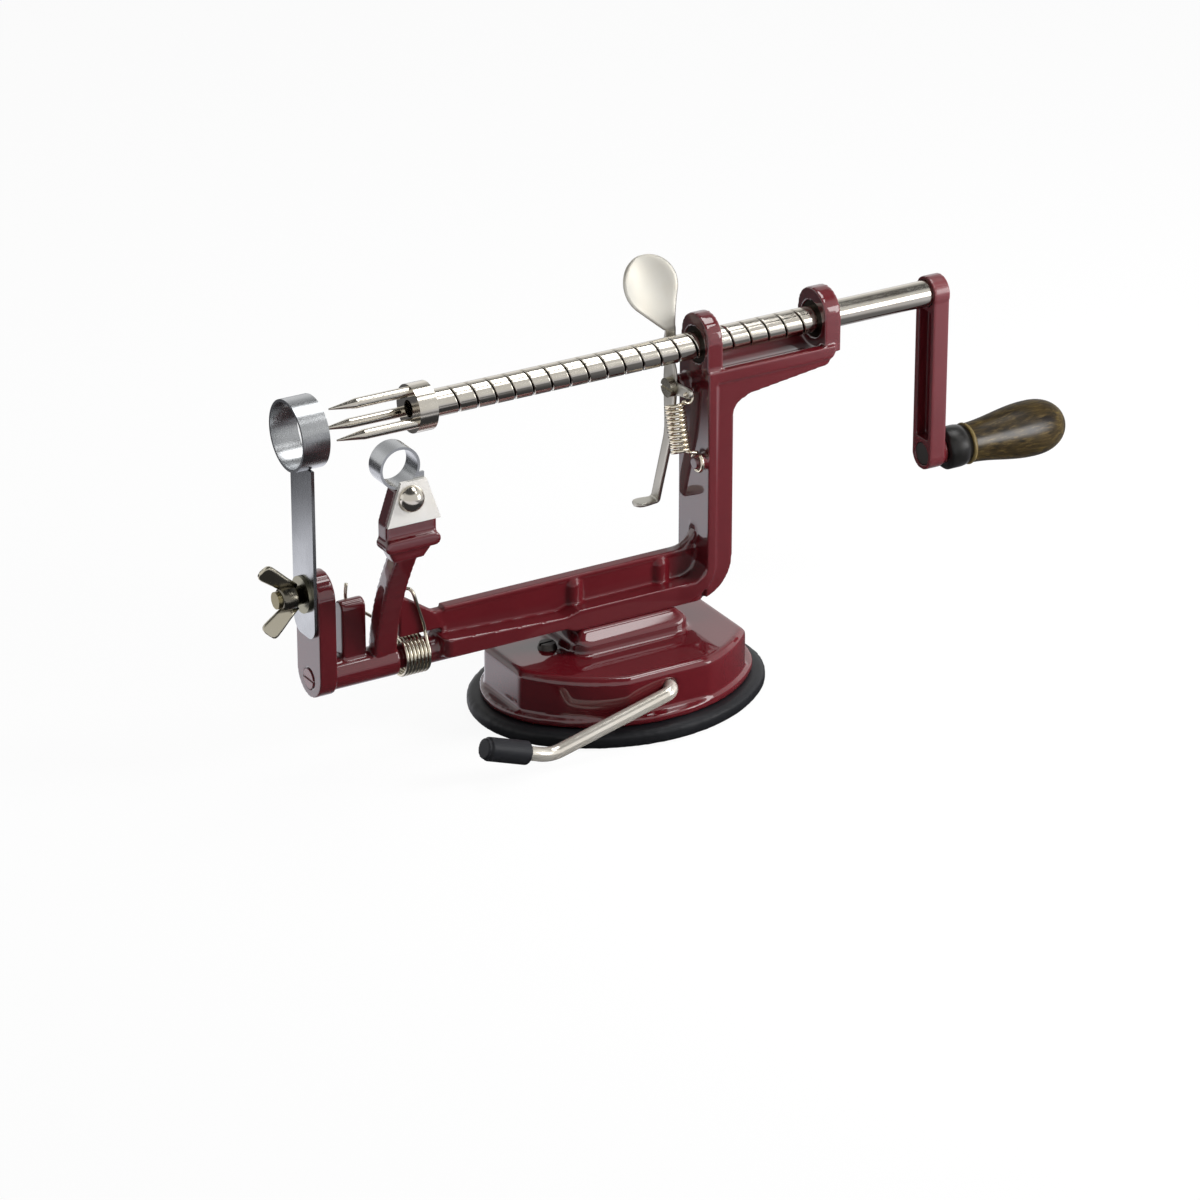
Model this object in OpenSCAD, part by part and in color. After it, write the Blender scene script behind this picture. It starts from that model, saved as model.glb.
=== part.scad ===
// Hand cranked fruit peeler that peels, slices and cores in one pass.
// X runs along the shaft towards the crank, Z is up, and the origin is
// the centre of the suction foot on the table. All sizes are in millimetres.

/* [Shaft] */
// Height of the shaft's axis above the table
axis_z = 125; // [120:1:132]
// Diameter of the shaft
shaft_d = 9.5; // [8.5:0.25:10.5]
// Distance from the foot's centre to the front end of the shaft
shaft_front = 74; // [70:1:76]
// Advance of the shaft in one turn
thread_pitch = 7.2; // [6.4:0.1:7.8]
// Turns of the spiral groove
thread_turns = 20; // [16:1:21]
// Width of the spiral groove
groove_w = 1.8; // [1.6:0.1:2.4]
// Depth of the spiral groove
groove_deep = 0.9; // [0.7:0.05:1.1]
// Outer diameter of the bushes
bush_d = 13; // [12:0.25:14]

/* [Fork] */
// Distance of each prong from the shaft's axis
prong_ring_r = 6.2; // [5.5:0.1:7]
// Diameter of a prong
prong_d = 3.6; // [3:0.1:4]
// Length of a prong
prong_len = 30; // [24:1:32]
// Length of the fork's hub
fork_hub_len = 7; // [5:0.5:9]

/* [Frame] */
// Front face of the upright, from the foot's centre
upright_x = 31; // [30:0.5:33]
// Thickness of the upright
upright_t = 10.5; // [9:0.5:13]
// Width of the upright
upright_w = 20; // [18:0.5:22]
// Height of the bar
bar_h = 18; // [16.5:0.5:19.5]
// Width of the bar's bottom flange
bar_w = 17; // [15.5:0.5:19]
// Height of the bar's bottom flange
flange_h = 7.5; // [6:0.5:9]
// Thickness of the bar's web
web_t = 3.6; // [3:0.2:5]
// Front end of the bar, from the foot's centre
bar_front = 72.5; // [71:0.5:73]
// Width of an eye that carries the shaft
eye_w = 18; // [17:0.5:20]
// Thickness of the front eye
eye_t = 6; // [5:0.5:7]
// Distance from the front eye to the rear eye
eye_pitch = 47.5; // [44:0.5:51]
// Thickness of the rear eye
rear_eye_t = 6.5; // [5.5:0.5:8]
// Height of an eye above the shaft's axis
eye_rise = 11.5; // [10.5:0.25:12.5]
// Depth of the top arm below its lips, at the upright
arm_deep = 12; // [10:0.5:14]
// Depth of the top arm below its lips, at the rear eye
arm_tip_deep = 7; // [5:0.5:8]
// Diameter of the screw bosses on the bar
boss_d = 7.2; // [6.6:0.2:9]
// Front boss, from the foot's centre
boss_front = 18.2; // [16:0.1:20]
// Rear boss, from the foot's centre
boss_rear = 16.6; // [15:0.1:18]
// Thickness of the ear that anchors the arm's spring
ear_t = 4; // [3:0.5:5]
// Height of the ear above the bar
ear_rise = 7.3; // [6:0.1:7.5]

/* [Spigot] */
// Height of the front spigot's axis
spigot_z = 34.6; // [34:0.1:36]
// Diameter of the spigot's shoulder
shoulder_d = 9.8; // [9:0.1:11]
// Length of the shoulder in front of the bar
shoulder_len = 4.3; // [4:0.1:5]
// Diameter of the spigot where the peeling arm turns
spigot_d = 8.4; // [7.5:0.1:9]

/* [Foot] */
// Length of the suction pad
pad_len = 110; // [104:1:118]
// Width of the suction pad
pad_wid = 88; // [84:1:94]
// Thickness of the pad's rim
pad_t = 6; // [5:0.25:7]
// How far the housing's flange stands back from the pad's edge
pad_lip = 4.5; // [3.5:0.25:6]
// Thickness of the housing's flange
lip_t = 3; // [2:0.25:4]
// How far the housing's wall stands back from its flange
wall_back = 3.2; // [2.6:0.2:4]
// Height of the housing's top above the table
housing_h = 24; // [23:0.5:26]
// Thickness of the housing's shell
shell_t = 3; // [2.5:0.25:4]
// Flat end of the housing towards the blades
facet_front = 46.2; // [44:0.2:47]
// Flat end of the housing towards the crank
facet_rear = 40.4; // [39:0.2:42]
// Half width of the flat end towards the blades
facet_half = 12.4; // [10:0.2:15]
// Height of the ridge that carries the bar
ridge_h = 8; // [7:0.5:9]
// Width of the ridge
ridge_w = 27; // [24:0.5:29]
// Front end of the ridge, from the foot's centre
ridge_front = 23.5; // [22.5:0.5:26]
// Rear end of the ridge, from the foot's centre
ridge_rear = 23; // [20:0.5:24]
// Diameter of the frame screws
screw_d = 4; // [3:0.25:4.5]

/* [Suction lever] */
// Height of the lever's axis
lever_z = 17.2; // [17:0.1:18]
// Diameter of the lever's rod
lever_d = 5; // [4:0.25:5.5]
// Distance of the lever's arm from the middle plane
lever_out = 39.6; // [39.2:0.2:42]
// Reach of the arm from its axis to its bend
lever_reach = 49.5; // [46:0.5:53]
// Height of the bend's middle above the table
bend_z = 4.6; // [4.3:0.1:5.5]
// Reach of the bent end from the bend to its tip
tip_reach = 24.6; // [23:0.2:28]
// Rise of the bent end over its reach
tip_rise = 8.6; // [7.6:0.2:10]
// Diameter of the cap
cap_d = 8.4; // [7.5:0.1:9]
// Length of the cap
cap_len = 17.5; // [15:0.5:20]
// Throw of the eccentric that lifts the pad
throw = 1.8; // [1.5:0.1:1.9]
// Diameter of the eccentric
eccentric_d = 9; // [8.6:0.1:9.2]

/* [Crank] */
// Inner face of the crank arm, from the foot's centre
crank_x = 126; // [122:0.5:132]
// Thickness of the crank arm
crank_t = 6.5; // [5.5:0.25:8]
// Distance from the shaft to the grip
crank_r = 61.5; // [56:0.5:68]
// Width of the crank arm
crank_w = 11.5; // [10:0.5:13]
// Depth of the channel in the crank arm's inner face
crank_sunk = 4.4; // [3:0.2:4.6]
// Diameter of the arm's bosses
crank_boss_d = 12.4; // [12.2:0.2:14]
// Diameter of the grip's spindle
spindle_d = 5; // [4:0.25:6]
// Length of the ferrule
ferrule_len = 9.5; // [8:0.5:11]
// Diameter of the ferrule
ferrule_d = 15.4; // [14.6:0.2:17]
// Length of the wood grip
grip_len = 42.5; // [39:0.5:46]
// Greatest diameter of the grip
grip_d = 20.4; // [18:0.2:23]
// Diameter of the grip's waist
waist_d = 14.4; // [13.6:0.2:15.4]

/* [Release lever] */
// Thickness of the lever's plate
plate_t = 1.5; // [1.2:0.1:1.8]
// Gap between the plate and the upright
plate_gap = 4.5; // [4.2:0.1:5]
// Pivot's distance behind the middle plane
pivot_y = 5; // [4.5:0.1:5.5]
// Pivot's depth below the shaft's axis
pivot_drop = 16; // [15.5:0.25:17]
// Diameter of the pivot screw
pivot_d = 4; // [3:0.25:4.5]
// Width of the thumb tab
tab_w = 21; // [18:0.5:23]
// Height of the thumb tab
tab_h = 26; // [23:0.5:28]
// Length of the lever's tail
tail_len = 48; // [45:1:51]
// Width of the lever's tail
tail_w = 5; // [4:0.25:6]
// Length of the foot bent at the tail's end
tail_foot = 9; // [7:0.5:11]
// Wire diameter of the lever's spring
pull_wire = 1; // [0.8:0.05:1.1]
// Mean diameter of the lever's spring
pull_coil_d = 6; // [5.6:0.1:6.4]
// Turns of the lever's spring
pull_turns = 9; // [7:1:10]
// Depth of the spring's post below the shaft's axis
post_drop = 40.5; // [40:0.5:43]
// Diameter of the spring's post
post_d = 5.2; // [4.5:0.1:6]

/* [Blades] */
// Back face of the blade bracket, from the foot's centre
bracket_x = 114.3; // [114:0.1:116]
// Thickness of the bracket
bracket_t = 6.5; // [6:0.25:7.5]
// Width of the bracket
bracket_w = 17; // [16:0.5:18.5]
// Height of the bracket's top
bracket_top = 73.5; // [73:0.5:75.5]
// Height of the bolt that clamps the slicing blade
bolt_z = 66.3; // [66:0.1:67]
// Diameter of the bolt
bolt_d = 6; // [5:0.25:6.5]
// Thickness of the slicing blade
blade_t = 1.2; // [1:0.1:1.6]
// Width of the slicing blade
blade_w = 15; // [14:0.5:16]
// Height of the slicing blade's lower end
blade_low = 51; // [48:0.5:53]
// Up and down travel of the slicing blade, each way
blade_play = 3; // [2:0.25:3]
// Inner diameter of the corer ring
corer_d = 23; // [21:0.5:25]
// Length of the corer ring
corer_len = 10; // [8:0.5:12]
// Span of the wing nut
wing_span = 24; // [21:0.5:27]

/* [Peeling arm] */
// Diameter of the arm's hub
hub_d = 11.8; // [11.4:0.2:13]
// Length of the arm's hub
hub_len = 25.5; // [24.5:0.1:26]
// Thickness of the arm, along the spigot
limb_t = 8.5; // [7:0.5:10]
// Width of the arm
limb_w = 5.6; // [5:0.2:7]
// Height of the stop lug above the spigot
lug_rise = 26; // [24:0.5:27]
// Thickness of the stop lug
lug_t = 6; // [5:0.25:7]
// Distance of the blade pad's front face from the middle plane
blade_pad_y = 44; // [42:0.5:47]
// Middle of the blade pad, from the foot's centre
blade_pad_x = 104.2; // [103.2:0.1:105.5]
// Lower edge of the blade pad
blade_pad_z = 97; // [96:0.5:98.5]
// Width of the blade pad
blade_pad_w = 19; // [17:0.5:21]
// Height of the blade pad
blade_pad_h = 21; // [19.5:0.5:22.5]
// Thickness of the blade pad
blade_pad_t = 6; // [5:0.25:7]
// Thickness of the clamp plate
clamp_t = 1.2; // [1:0.1:1.6]
// Thickness of the peeling blade's strip
knife_t = 0.9; // [0.7:0.05:1.2]
// Width of the peeling blade's strip
knife_w = 8; // [6:0.25:9]
// Outer diameter of the peeling blade's loop
loop_d = 14.8; // [14:0.2:16]
// Wire diameter of the arm's spring
arm_wire = 0.9; // [0.8:0.05:1]
// Mean diameter of the arm's spring
arm_coil_d = 13.2; // [12.6:0.1:13.6]
// Pitch of the arm's spring
arm_coil_pitch = 1.42; // [1.41:0.01:1.46]
// Turns of the arm's spring
arm_turns = 6; // [4:1:6]

/* [Fits] */
// Radial clearance of parts that turn or slide on each other
run_clear = 0.05; // [0.03:0.01:0.1]
// Radial clearance of fixed screws, pins and rods
fix_clear = 0.05; // [0.02:0.01:0.1]
// Gap that keeps a spring or a moving edge off its neighbour
air_gap = 0.3; // [0.25:0.05:0.5]

/* [Hidden] */
$fn = 48;

enamel = [0.40, 0.08, 0.12];
nickel = [0.80, 0.78, 0.73];
black = [0.08, 0.08, 0.09];
walnut = [0.24, 0.14, 0.08];

// Levels and places that several pieces share
seat_z = housing_h + ridge_h;
bar_top = seat_z + bar_h;
upright_back = upright_x + upright_t;
rear_eye_x = upright_x + eye_pitch;
shaft_r = shaft_d / 2;
lip_drop = 7.4;
lip_z = axis_z - lip_drop;
wall_b = pad_wid / 2 - pad_lip - wall_back;
lip_z0 = pad_t;
bracket_front = bracket_x + bracket_t;
spigot_r = spigot_d / 2;
plate_x1 = upright_x - plate_gap;
plate_x0 = plate_x1 - plate_t;
plate_mid = (plate_x0 + plate_x1) / 2;
pivot_z = axis_z - pivot_drop;
post_z = axis_z - post_drop;
grip_z = axis_z - crank_r;
crank_back = crank_x + crank_t;

// Solid of an outline drawn as (y, z), standing from x0 to x1
module along_x(x0, x1) {
    translate([x0, 0, 0]) rotate([90, 0, 90]) linear_extrude(x1 - x0) children();
}

// Solid of an outline drawn as (x, z), standing from y0 to y1
module along_y(y0, y1) {
    translate([0, y1, 0]) rotate([90, 0, 0]) linear_extrude(y1 - y0) children();
}

// Round bar along X from x0 to x1
module rod_x(x0, x1, d, y = 0, z = 0) {
    translate([x0, y, z]) rotate([0, 90, 0]) cylinder(d = d, h = x1 - x0);
}

// Round bar along Y from y0 to y1
module rod_y(y0, y1, d, x = 0, z = 0) {
    translate([x, y1, z]) rotate([90, 0, 0]) cylinder(d = d, h = y1 - y0);
}

// Round bar between two points
module rod_between(a, b, d) {
    v = b - a;
    translate(a) rotate([0, acos(v.z / norm(v)), atan2(v.y, v.x)]) cylinder(d = d, h = norm(v));
}

// Oval of four tangent arcs: half length a, half width b, end radius r
module oval(a, b, r) {
    big = ((a - r) * (a - r) + b * b - r * r) / (2 * (b - r));
    reach = norm([a - r, big - b]);
    join_x = (a - r) * big / reach;
    intersection() {
        translate([0, b - big]) circle(big);
        translate([0, big - b]) circle(big);
        union() {
            square([2 * join_x, 2 * b], center = true);
            translate([a - r, 0]) circle(r);
            translate([r - a, 0]) circle(r);
        }
    }
}

// Rectangle from (x0, y0) to (x1, y1) with corners of radius r
module round_rect(x0, y0, x1, y1, r) {
    translate([x0 + r, y0]) square([x1 - x0 - 2 * r, y1 - y0]);
    translate([x0, y0 + r]) square([x1 - x0, y1 - y0 - 2 * r]);
    for (x = [x0 + r, x1 - r], y = [y0 + r, y1 - r]) translate([x, y]) circle(r);
}

// Bar with round ends: two discs of diameter d1 and d2 on the second axis, and a neck between
module link(z1, d1, z2, d2, w) {
    translate([0, z1]) circle(d = d1);
    translate([0, z2]) circle(d = d2);
    translate([-w / 2, min(z1, z2)]) square([w, abs(z2 - z1)]);
}

// Sweep of a round wire along a path of points
wire_sides = 6;
function unit(v) = v / norm(v);
function directions(p) = [for (i = [0:len(p) - 1])
    unit(p[min(i + 1, len(p) - 1)] - p[max(i - 1, 0)])];
function across(n, t) = unit(n - (n * t) * t);
function side_vectors(t, first) = [for (i = 0, n = across(first, t[0]); i < len(t);
    i = i + 1, n = across(n, t[min(i, len(t) - 1)])) n];

module wire(p, d, first) {
    t = directions(p);
    n = side_vectors(t, first);
    rings = [for (i = [0:len(p) - 1], k = [0:wire_sides - 1]) let (a = 360 * k / wire_sides)
        p[i] + d / 2 * (cos(a) * n[i] + sin(a) * cross(t[i], n[i]))];
    walls = [for (i = [0:len(p) - 2], k = [0:wire_sides - 1])
        let (a = i * wire_sides + k, b = i * wire_sides + (k + 1) % wire_sides)
        each [[a, b + wire_sides, b], [a, a + wire_sides, b + wire_sides]]];
    end = (len(p) - 1) * wire_sides;
    caps = [for (k = [1:wire_sides - 2]) each [[0, k, k + 1], [end, end + k + 1, end + k]]];
    polyhedron(rings, concat(walls, caps), convexity = 10);
}

// Least gap of a wound wire to itself, skipping neighbours along the wire
curl_rings = 8;
function self_gap(p, d) = min([for (i = [0:len(p) - 1])
    for (j = [i + 5:1:len(p) - 1]) norm(p[i] - p[j])]) - d;

// Foot

pad_end_r = pad_wid / 2 - 8;
rim_round = 1.2;
stud_lift = 2 * throw * sin(60);
stud_base_r = 7.5;
stud_base_t = 3;
stud_play = 0.15;
window_low = lever_z - throw * sin(60);
window_h = eccentric_d + 2 * stud_play;
window_w = eccentric_d + 2 * throw + 2 * air_gap;
yoke_rim = 1.6;
yoke_w = window_w + 2 * yoke_rim;
yoke_h = window_h + 2 * yoke_rim;
yoke_t = 7;
well_w = yoke_w + 2 * air_gap;
well_t = yoke_t + 4 * air_gap;
well_top = window_low + yoke_h / 2 + stud_lift + 2 * air_gap;

// Outline of the housing's wall: two great arcs cut by flat ends and by flat sides
panel_half = 16;
arc_off = (facet_front * facet_front + facet_half * facet_half - panel_half * panel_half - wall_b * wall_b)
    / (2 * (wall_b - facet_half));
arc_r = norm([panel_half, wall_b + arc_off]);

module wall_outline(inset) {
    intersection() {
        translate([0, arc_off]) circle(arc_r - inset);
        translate([0, -arc_off]) circle(arc_r - inset);
        translate([-facet_front + inset, -wall_b + inset])
            square([facet_front + facet_rear - 2 * inset, 2 * wall_b - 2 * inset]);
    }
}

// Ridge seen from an end or a side: upright walls, then slopes up to the bar's seat
ridge_slope = 4.2;

module ridge_outline(a, b) {
    polygon([[a, lip_z0], [b, lip_z0], [b, seat_z - ridge_slope], [b - ridge_slope, seat_z],
        [a + ridge_slope, seat_z], [a, seat_z - ridge_slope]]);
}

// Enamelled shell of the foot: flange, walls, flat ends and the ridge under the bar
module base_housing() {
    color(enamel) difference() {
        union() {
            translate([0, 0, lip_z0]) linear_extrude(lip_t)
                oval(pad_len / 2 - pad_lip, pad_wid / 2 - pad_lip, pad_end_r - pad_lip);
            translate([0, 0, lip_z0]) linear_extrude(housing_h - rim_round - lip_z0) wall_outline(0);
            translate([0, 0, lip_z0]) linear_extrude(housing_h - lip_z0) wall_outline(rim_round);
            intersection() {
                translate([0, 0, lip_z0]) linear_extrude(seat_z - lip_z0)
                    round_rect(-ridge_front, -ridge_w / 2, ridge_rear, ridge_w / 2, 6);
                along_x(-ridge_front, ridge_rear) ridge_outline(-ridge_w / 2, ridge_w / 2);
                along_y(-ridge_w / 2, ridge_w / 2) ridge_outline(-ridge_front, ridge_rear);
            }
        }
        translate([0, 0, lip_z0 - 1]) linear_extrude(housing_h - shell_t - lip_z0 + 1) difference() {
            wall_outline(shell_t);
            for (x = [-boss_front, boss_rear]) translate([x, 0]) circle(d = screw_d + 7.4);
        }
        translate([-well_w / 2, -well_t / 2, lip_z0]) cube([well_w, well_t, well_top - lip_z0]);
        translate([0, 0, lip_z0 - 1]) for (x = [-boss_front, boss_rear]) {
            translate([x, 0, 0]) cylinder(d = screw_d + 2 * fix_clear, h = seat_z);
            translate([x, 0, 0]) cylinder(d = 2 * screw_d + 2 * fix_clear, h = screw_floor - lip_z0 + 1);
        }
        rod_y(-wall_b - 1, wall_b - shell_t / 2, lever_d + 2 * run_clear, z = lever_z);
        translate([-housing_screw_x, 0, housing_h - 2 * shell_t])
            cylinder(d = housing_screw_d + 2 * fix_clear, h = 3 * shell_t);
    }
}

// Level on which the frame screws' heads bear, inside the housing's bosses
screw_floor = housing_h - shell_t;
screw_bite = 13;

// Black rubber pad with a rounded rim and a seat for the pull stud
module suction_pad() {
    color(black) difference() {
        union() {
            linear_extrude(pad_t) oval(pad_len / 2 - rim_round, pad_wid / 2 - rim_round, pad_end_r - rim_round);
            translate([0, 0, rim_round]) linear_extrude(pad_t - 2 * rim_round)
                oval(pad_len / 2, pad_wid / 2, pad_end_r);
        }
        translate([0, 0, pad_t - stud_base_t]) cylinder(r = stud_base_r + air_gap, h = pad_t);
    }
}

// Stud moulded to the pad's middle, with the window in which the eccentric turns
module pull_stud() {
    color(nickel) difference() {
        union() {
            translate([0, 0, pad_t - stud_base_t]) cylinder(r = stud_base_r, h = stud_base_t);
            translate([0, 0, pad_t - 1]) cylinder(d = yoke_t, h = window_low - yoke_h / 2 - pad_t + 2);
            translate([-yoke_w / 2, -yoke_t / 2, window_low - yoke_h / 2]) cube([yoke_w, yoke_t, yoke_h]);
        }
        translate([-window_w / 2, -yoke_t, window_low - window_h / 2]) cube([window_w, 2 * yoke_t, window_h]);
    }
}

cap_wall = 1.4;
cap_round = 1.2;
bend_swell = 0.1;
lever_elbow = [0, -lever_out, lever_z];
lever_bend = [-lever_reach, -lever_out, bend_z];
lever_tip = lever_bend + [-tip_reach, 0, tip_rise];
tip_dir = unit(lever_tip - lever_bend);
cap_start = lever_tip - (cap_len - cap_wall) * tip_dir;

// Bent rod that turns in the housing and lifts the stud with its eccentric
module suction_lever() {
    eccentric_at = 240;
    color(nickel) {
        rod_y(-lever_out, wall_b - shell_t, lever_d, z = lever_z);
        rod_y(-yoke_t / 2 - air_gap, yoke_t / 2 + air_gap, eccentric_d,
            throw * cos(eccentric_at), lever_z + throw * sin(eccentric_at));
        translate(lever_elbow) sphere(d = lever_d + bend_swell);
        rod_between(lever_elbow, lever_bend, lever_d);
        translate(lever_bend) sphere(d = lever_d + bend_swell);
        rod_between(lever_bend, lever_tip, lever_d);
    }
}

// Vinyl cap pushed on the lever's bent end
module lever_cap() {
    color(black) difference() {
        union() {
            rod_between(cap_start, lever_tip, cap_d);
            rod_between(lever_tip - tip_dir, lever_tip + cap_wall * tip_dir, cap_d - cap_round);
        }
        rod_between(cap_start - tip_dir, lever_tip, lever_d + 2 * fix_clear);
    }
}

housing_screw_d = 4;
housing_screw_x = ridge_front + 4.4;

// Small dark screw in the housing's top, in front of the ridge
module housing_screw() {
    color(black) translate([-housing_screw_x, 0, 0]) difference() {
        union() {
            translate([0, 0, housing_h - 2 * shell_t]) cylinder(d = housing_screw_d, h = 2 * shell_t + 1);
            translate([0, 0, housing_h]) cylinder(d1 = 7, d2 = 5.6, h = 2);
        }
        translate([0, 0, housing_h + 2]) cube([9, 1, 1.6], center = true);
    }
}

// Two screws that hold the bar down on the ridge, with their heads inside the housing
module frame_screws() {
    color(nickel) for (x = [-boss_front, boss_rear]) translate([x, 0, 0]) {
        translate([0, 0, screw_floor - screw_d / 2]) cylinder(d = 2 * screw_d, h = screw_d / 2);
        translate([0, 0, screw_floor - 1]) cylinder(d = screw_d, h = seat_z + screw_bite - screw_floor + 1);
    }
}

// Frame

corner_r = 15;
inner_fillet = 9;
arm_fillet = 6;
flange_round = 3;
flange_lift = 1.5;
flange_dip = 1.5;
flange_tip = 1.1;
ear_front = bar_front + 14.4;
ear_low = spigot_z + arm_coil_d / 2 + arm_wire / 2 + 2 * air_gap;
ear_top = bar_top + ear_rise;
lip_t_top = 1.3;
lip_over = 0.5;
boss_top = bar_h - 0.5;
lip_band = 4.4;
panel_sunk = 0.8;
rim_w = 3.4;
bend_r = 14;
bend_inner_r = 7;
bend_x = upright_x + rim_w - bend_r;
trough_r = 10;
pivot_boss_d = pivot_d + 4;

// Corner fillet of radius r that fills the quadrant from (x, z) towards (sx, sz)
module fillet(x, z, r, sx, sz) {
    translate([x, z]) difference() {
        translate([min(0, sx * r), min(0, sz * r)]) square(r);
        translate([sx * r, sz * r]) circle(r);
    }
}

// Web of the bar with its slanted front end and the fillet into the upright
module web_outline() {
    polygon([[-bar_front + 2, seat_z], [upright_x + 1, seat_z], [upright_x + 1, bar_top],
        [-bar_front - 1, bar_top - 1], [-bar_front + 2, seat_z + flange_h + 3]]);
    fillet(upright_x, bar_top, inner_fillet, -1, 1);
}

// Flange of the bar from the side: it sits on the ridge, and thins from the front end to the front boss
module flange_outline() {
    top = seat_z + flange_h;
    polygon([[-bar_front, seat_z + flange_lift], [-boss_front - boss_d, seat_z + flange_lift],
        [-boss_front - boss_d / 2, seat_z], [upright_x, seat_z], [upright_x, top],
        [-boss_front - boss_d / 4, top], [-boss_front - boss_d, top - flange_dip], [-bar_front, top + flange_tip]]);
}

// Ear in front of the bar, over which the arm's spring hooks
module ear_outline() {
    polygon([[-ear_front, ear_low], [-ear_front, ear_top - 0.8], [-ear_front + 1.5, ear_top],
        [-bar_front - 1.5, bar_top - 0.5], [-bar_front + 3.3, seat_z + flange_h + 2],
        [-bar_front + 3.3, seat_z + 2], [-bar_front + 2, seat_z + 2], [-bar_front + 2, ear_low]]);
}

// Upright and top arm as one bent outline; the arm ends short of the rear eye's back
module upright_outline() {
    arm_end = rear_eye_x + rear_eye_t - 2.5;
    difference() {
        translate([upright_x, seat_z]) square([upright_t, lip_z - seat_z]);
        translate([upright_back - corner_r, seat_z]) difference() {
            square(corner_r);
            translate([0, corner_r]) circle(corner_r);
        }
    }
    polygon([[upright_x + 1, lip_z - arm_deep], [upright_back, lip_z - arm_deep],
        [arm_end - 2.5, lip_z - arm_tip_deep], [arm_end, lip_z - arm_tip_deep + 4],
        [arm_end, lip_z], [upright_x + 1, lip_z]]);
    fillet(upright_back, lip_z - arm_deep, arm_fillet, 1, -1);
}

// Bend of the upright's rim into the bar's flange, as (x, z), and its width in plan
module bend_outline() {
    difference() {
        intersection() {
            translate([bend_x, seat_z + bend_r]) circle(bend_r);
            translate([bend_x, seat_z]) square(bend_r);
        }
        round_rect(bend_x - bend_r, seat_z + flange_h, upright_x, seat_z + flange_h + 2 * bend_r, bend_inner_r);
    }
}

module bend_plan() {
    polygon([[bend_x, -bar_w / 2], [upright_x, -upright_w / 2], [upright_x + rim_w, -upright_w / 2],
        [upright_x + rim_w, upright_w / 2], [upright_x, upright_w / 2], [bend_x, bar_w / 2]]);
}

module eye_outline() {
    translate([0, axis_z + eye_rise - eye_w / 2]) circle(d = eye_w);
    translate([-eye_w / 2, lip_z - 3]) square([eye_w, axis_z + eye_rise - eye_w / 2 - lip_z + 3]);
}

// One enamelled casting: bar, upright, top arm, two eyes, ear, spigot and spring post
module frame_casting() {
    color(enamel) difference() {
        union() {
            along_y(-web_t / 2, web_t / 2) web_outline();
            along_y(-ear_t / 2, ear_t / 2) ear_outline();
            intersection() {
                along_y(-bar_w, bar_w) flange_outline();
                translate([0, 0, seat_z]) linear_extrude(bar_h)
                    round_rect(-bar_front, -bar_w / 2, upright_x, bar_w / 2, flange_round);
            }
            intersection() {
                along_y(-upright_w / 2, upright_w / 2) bend_outline();
                translate([0, 0, seat_z]) linear_extrude(bend_r) bend_plan();
            }
            along_y(-web_t / 2 - lip_over, web_t / 2 + lip_over)
                translate([-bar_front + 3, bar_top - lip_t_top])
                square([upright_x + bar_front - 3, lip_t_top]);
            for (x = [-boss_front, boss_rear]) translate([x, 0, seat_z]) {
                cylinder(d = boss_d, h = boss_top - boss_d / 2);
                translate([0, 0, boss_top - boss_d / 2]) sphere(d = boss_d + bend_swell);
            }
            along_y(-upright_w / 2 + panel_sunk, upright_w / 2 - panel_sunk) upright_outline();
            along_y(-upright_w / 2, upright_w / 2) intersection() {
                upright_outline();
                union() {
                    translate([upright_x, seat_z + bend_r]) square([rim_w, axis_z]);
                    translate([upright_x, lip_z - lip_band]) square([eye_pitch + rear_eye_t, lip_band]);
                }
            }
            along_x(upright_x, upright_x + eye_t) eye_outline();
            along_x(rear_eye_x, rear_eye_x + rear_eye_t) eye_outline();
            rod_x(-bar_front - shoulder_len, -bar_front + 8, shoulder_d, z = spigot_z);
            rod_x(-bracket_x, -bar_front, spigot_d, z = spigot_z);
            rod_x(-bracket_front + 1, -bracket_x + 1, spigot_end_d, z = spigot_z);
            rod_x(upright_x - post_len, upright_x + 1, post_d, post_y, post_z);
            rod_x(plate_x1 + run_clear, upright_x + 1, pivot_boss_d, pivot_y, pivot_z);
        }
        translate([0, 0, axis_z]) rotate([0, 90, 0])
            translate([0, 0, upright_x + eye_t]) cylinder(r = trough_r, h = eye_pitch - eye_t);
        rod_x(upright_x - 1, rear_eye_x + rear_eye_t + 1, bush_d + 2 * run_clear, z = axis_z);
        rod_x(plate_x1 - 1, upright_x + pivot_bite, pivot_d + 2 * fix_clear, pivot_y, pivot_z);
        for (x = [-boss_front, boss_rear]) translate([x, 0, seat_z - 1])
            cylinder(d = screw_d + 2 * fix_clear, h = screw_bite + 1.5);
        rod_x(-bracket_front, -bracket_front + screw_hole, bracket_screw_d + 2 * fix_clear, z = spigot_z);
    }
}

pivot_bite = 6;
post_y = -7.2;
post_len = 4.5;
spigot_end_d = spigot_d - 1;
bracket_screw_d = 3.5;
screw_hole = 14;

// Shaft

module bush(x0, x1) {
    difference() {
        rod_x(x0, x1, bush_d, z = axis_z);
        rod_x(x0 - 1, x1 + 1, shaft_d + 2 * run_clear, z = axis_z);
    }
}

// Bushes of the two eyes, which turn with the shaft while it slides through them
module shaft_bushes() {
    color([0.72, 0.58, 0.32]) {
        bush(upright_x + 0.5, upright_x + eye_t - 0.5);
        bush(rear_eye_x + 0.5, rear_eye_x + rear_eye_t - 0.5);
    }
}

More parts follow.
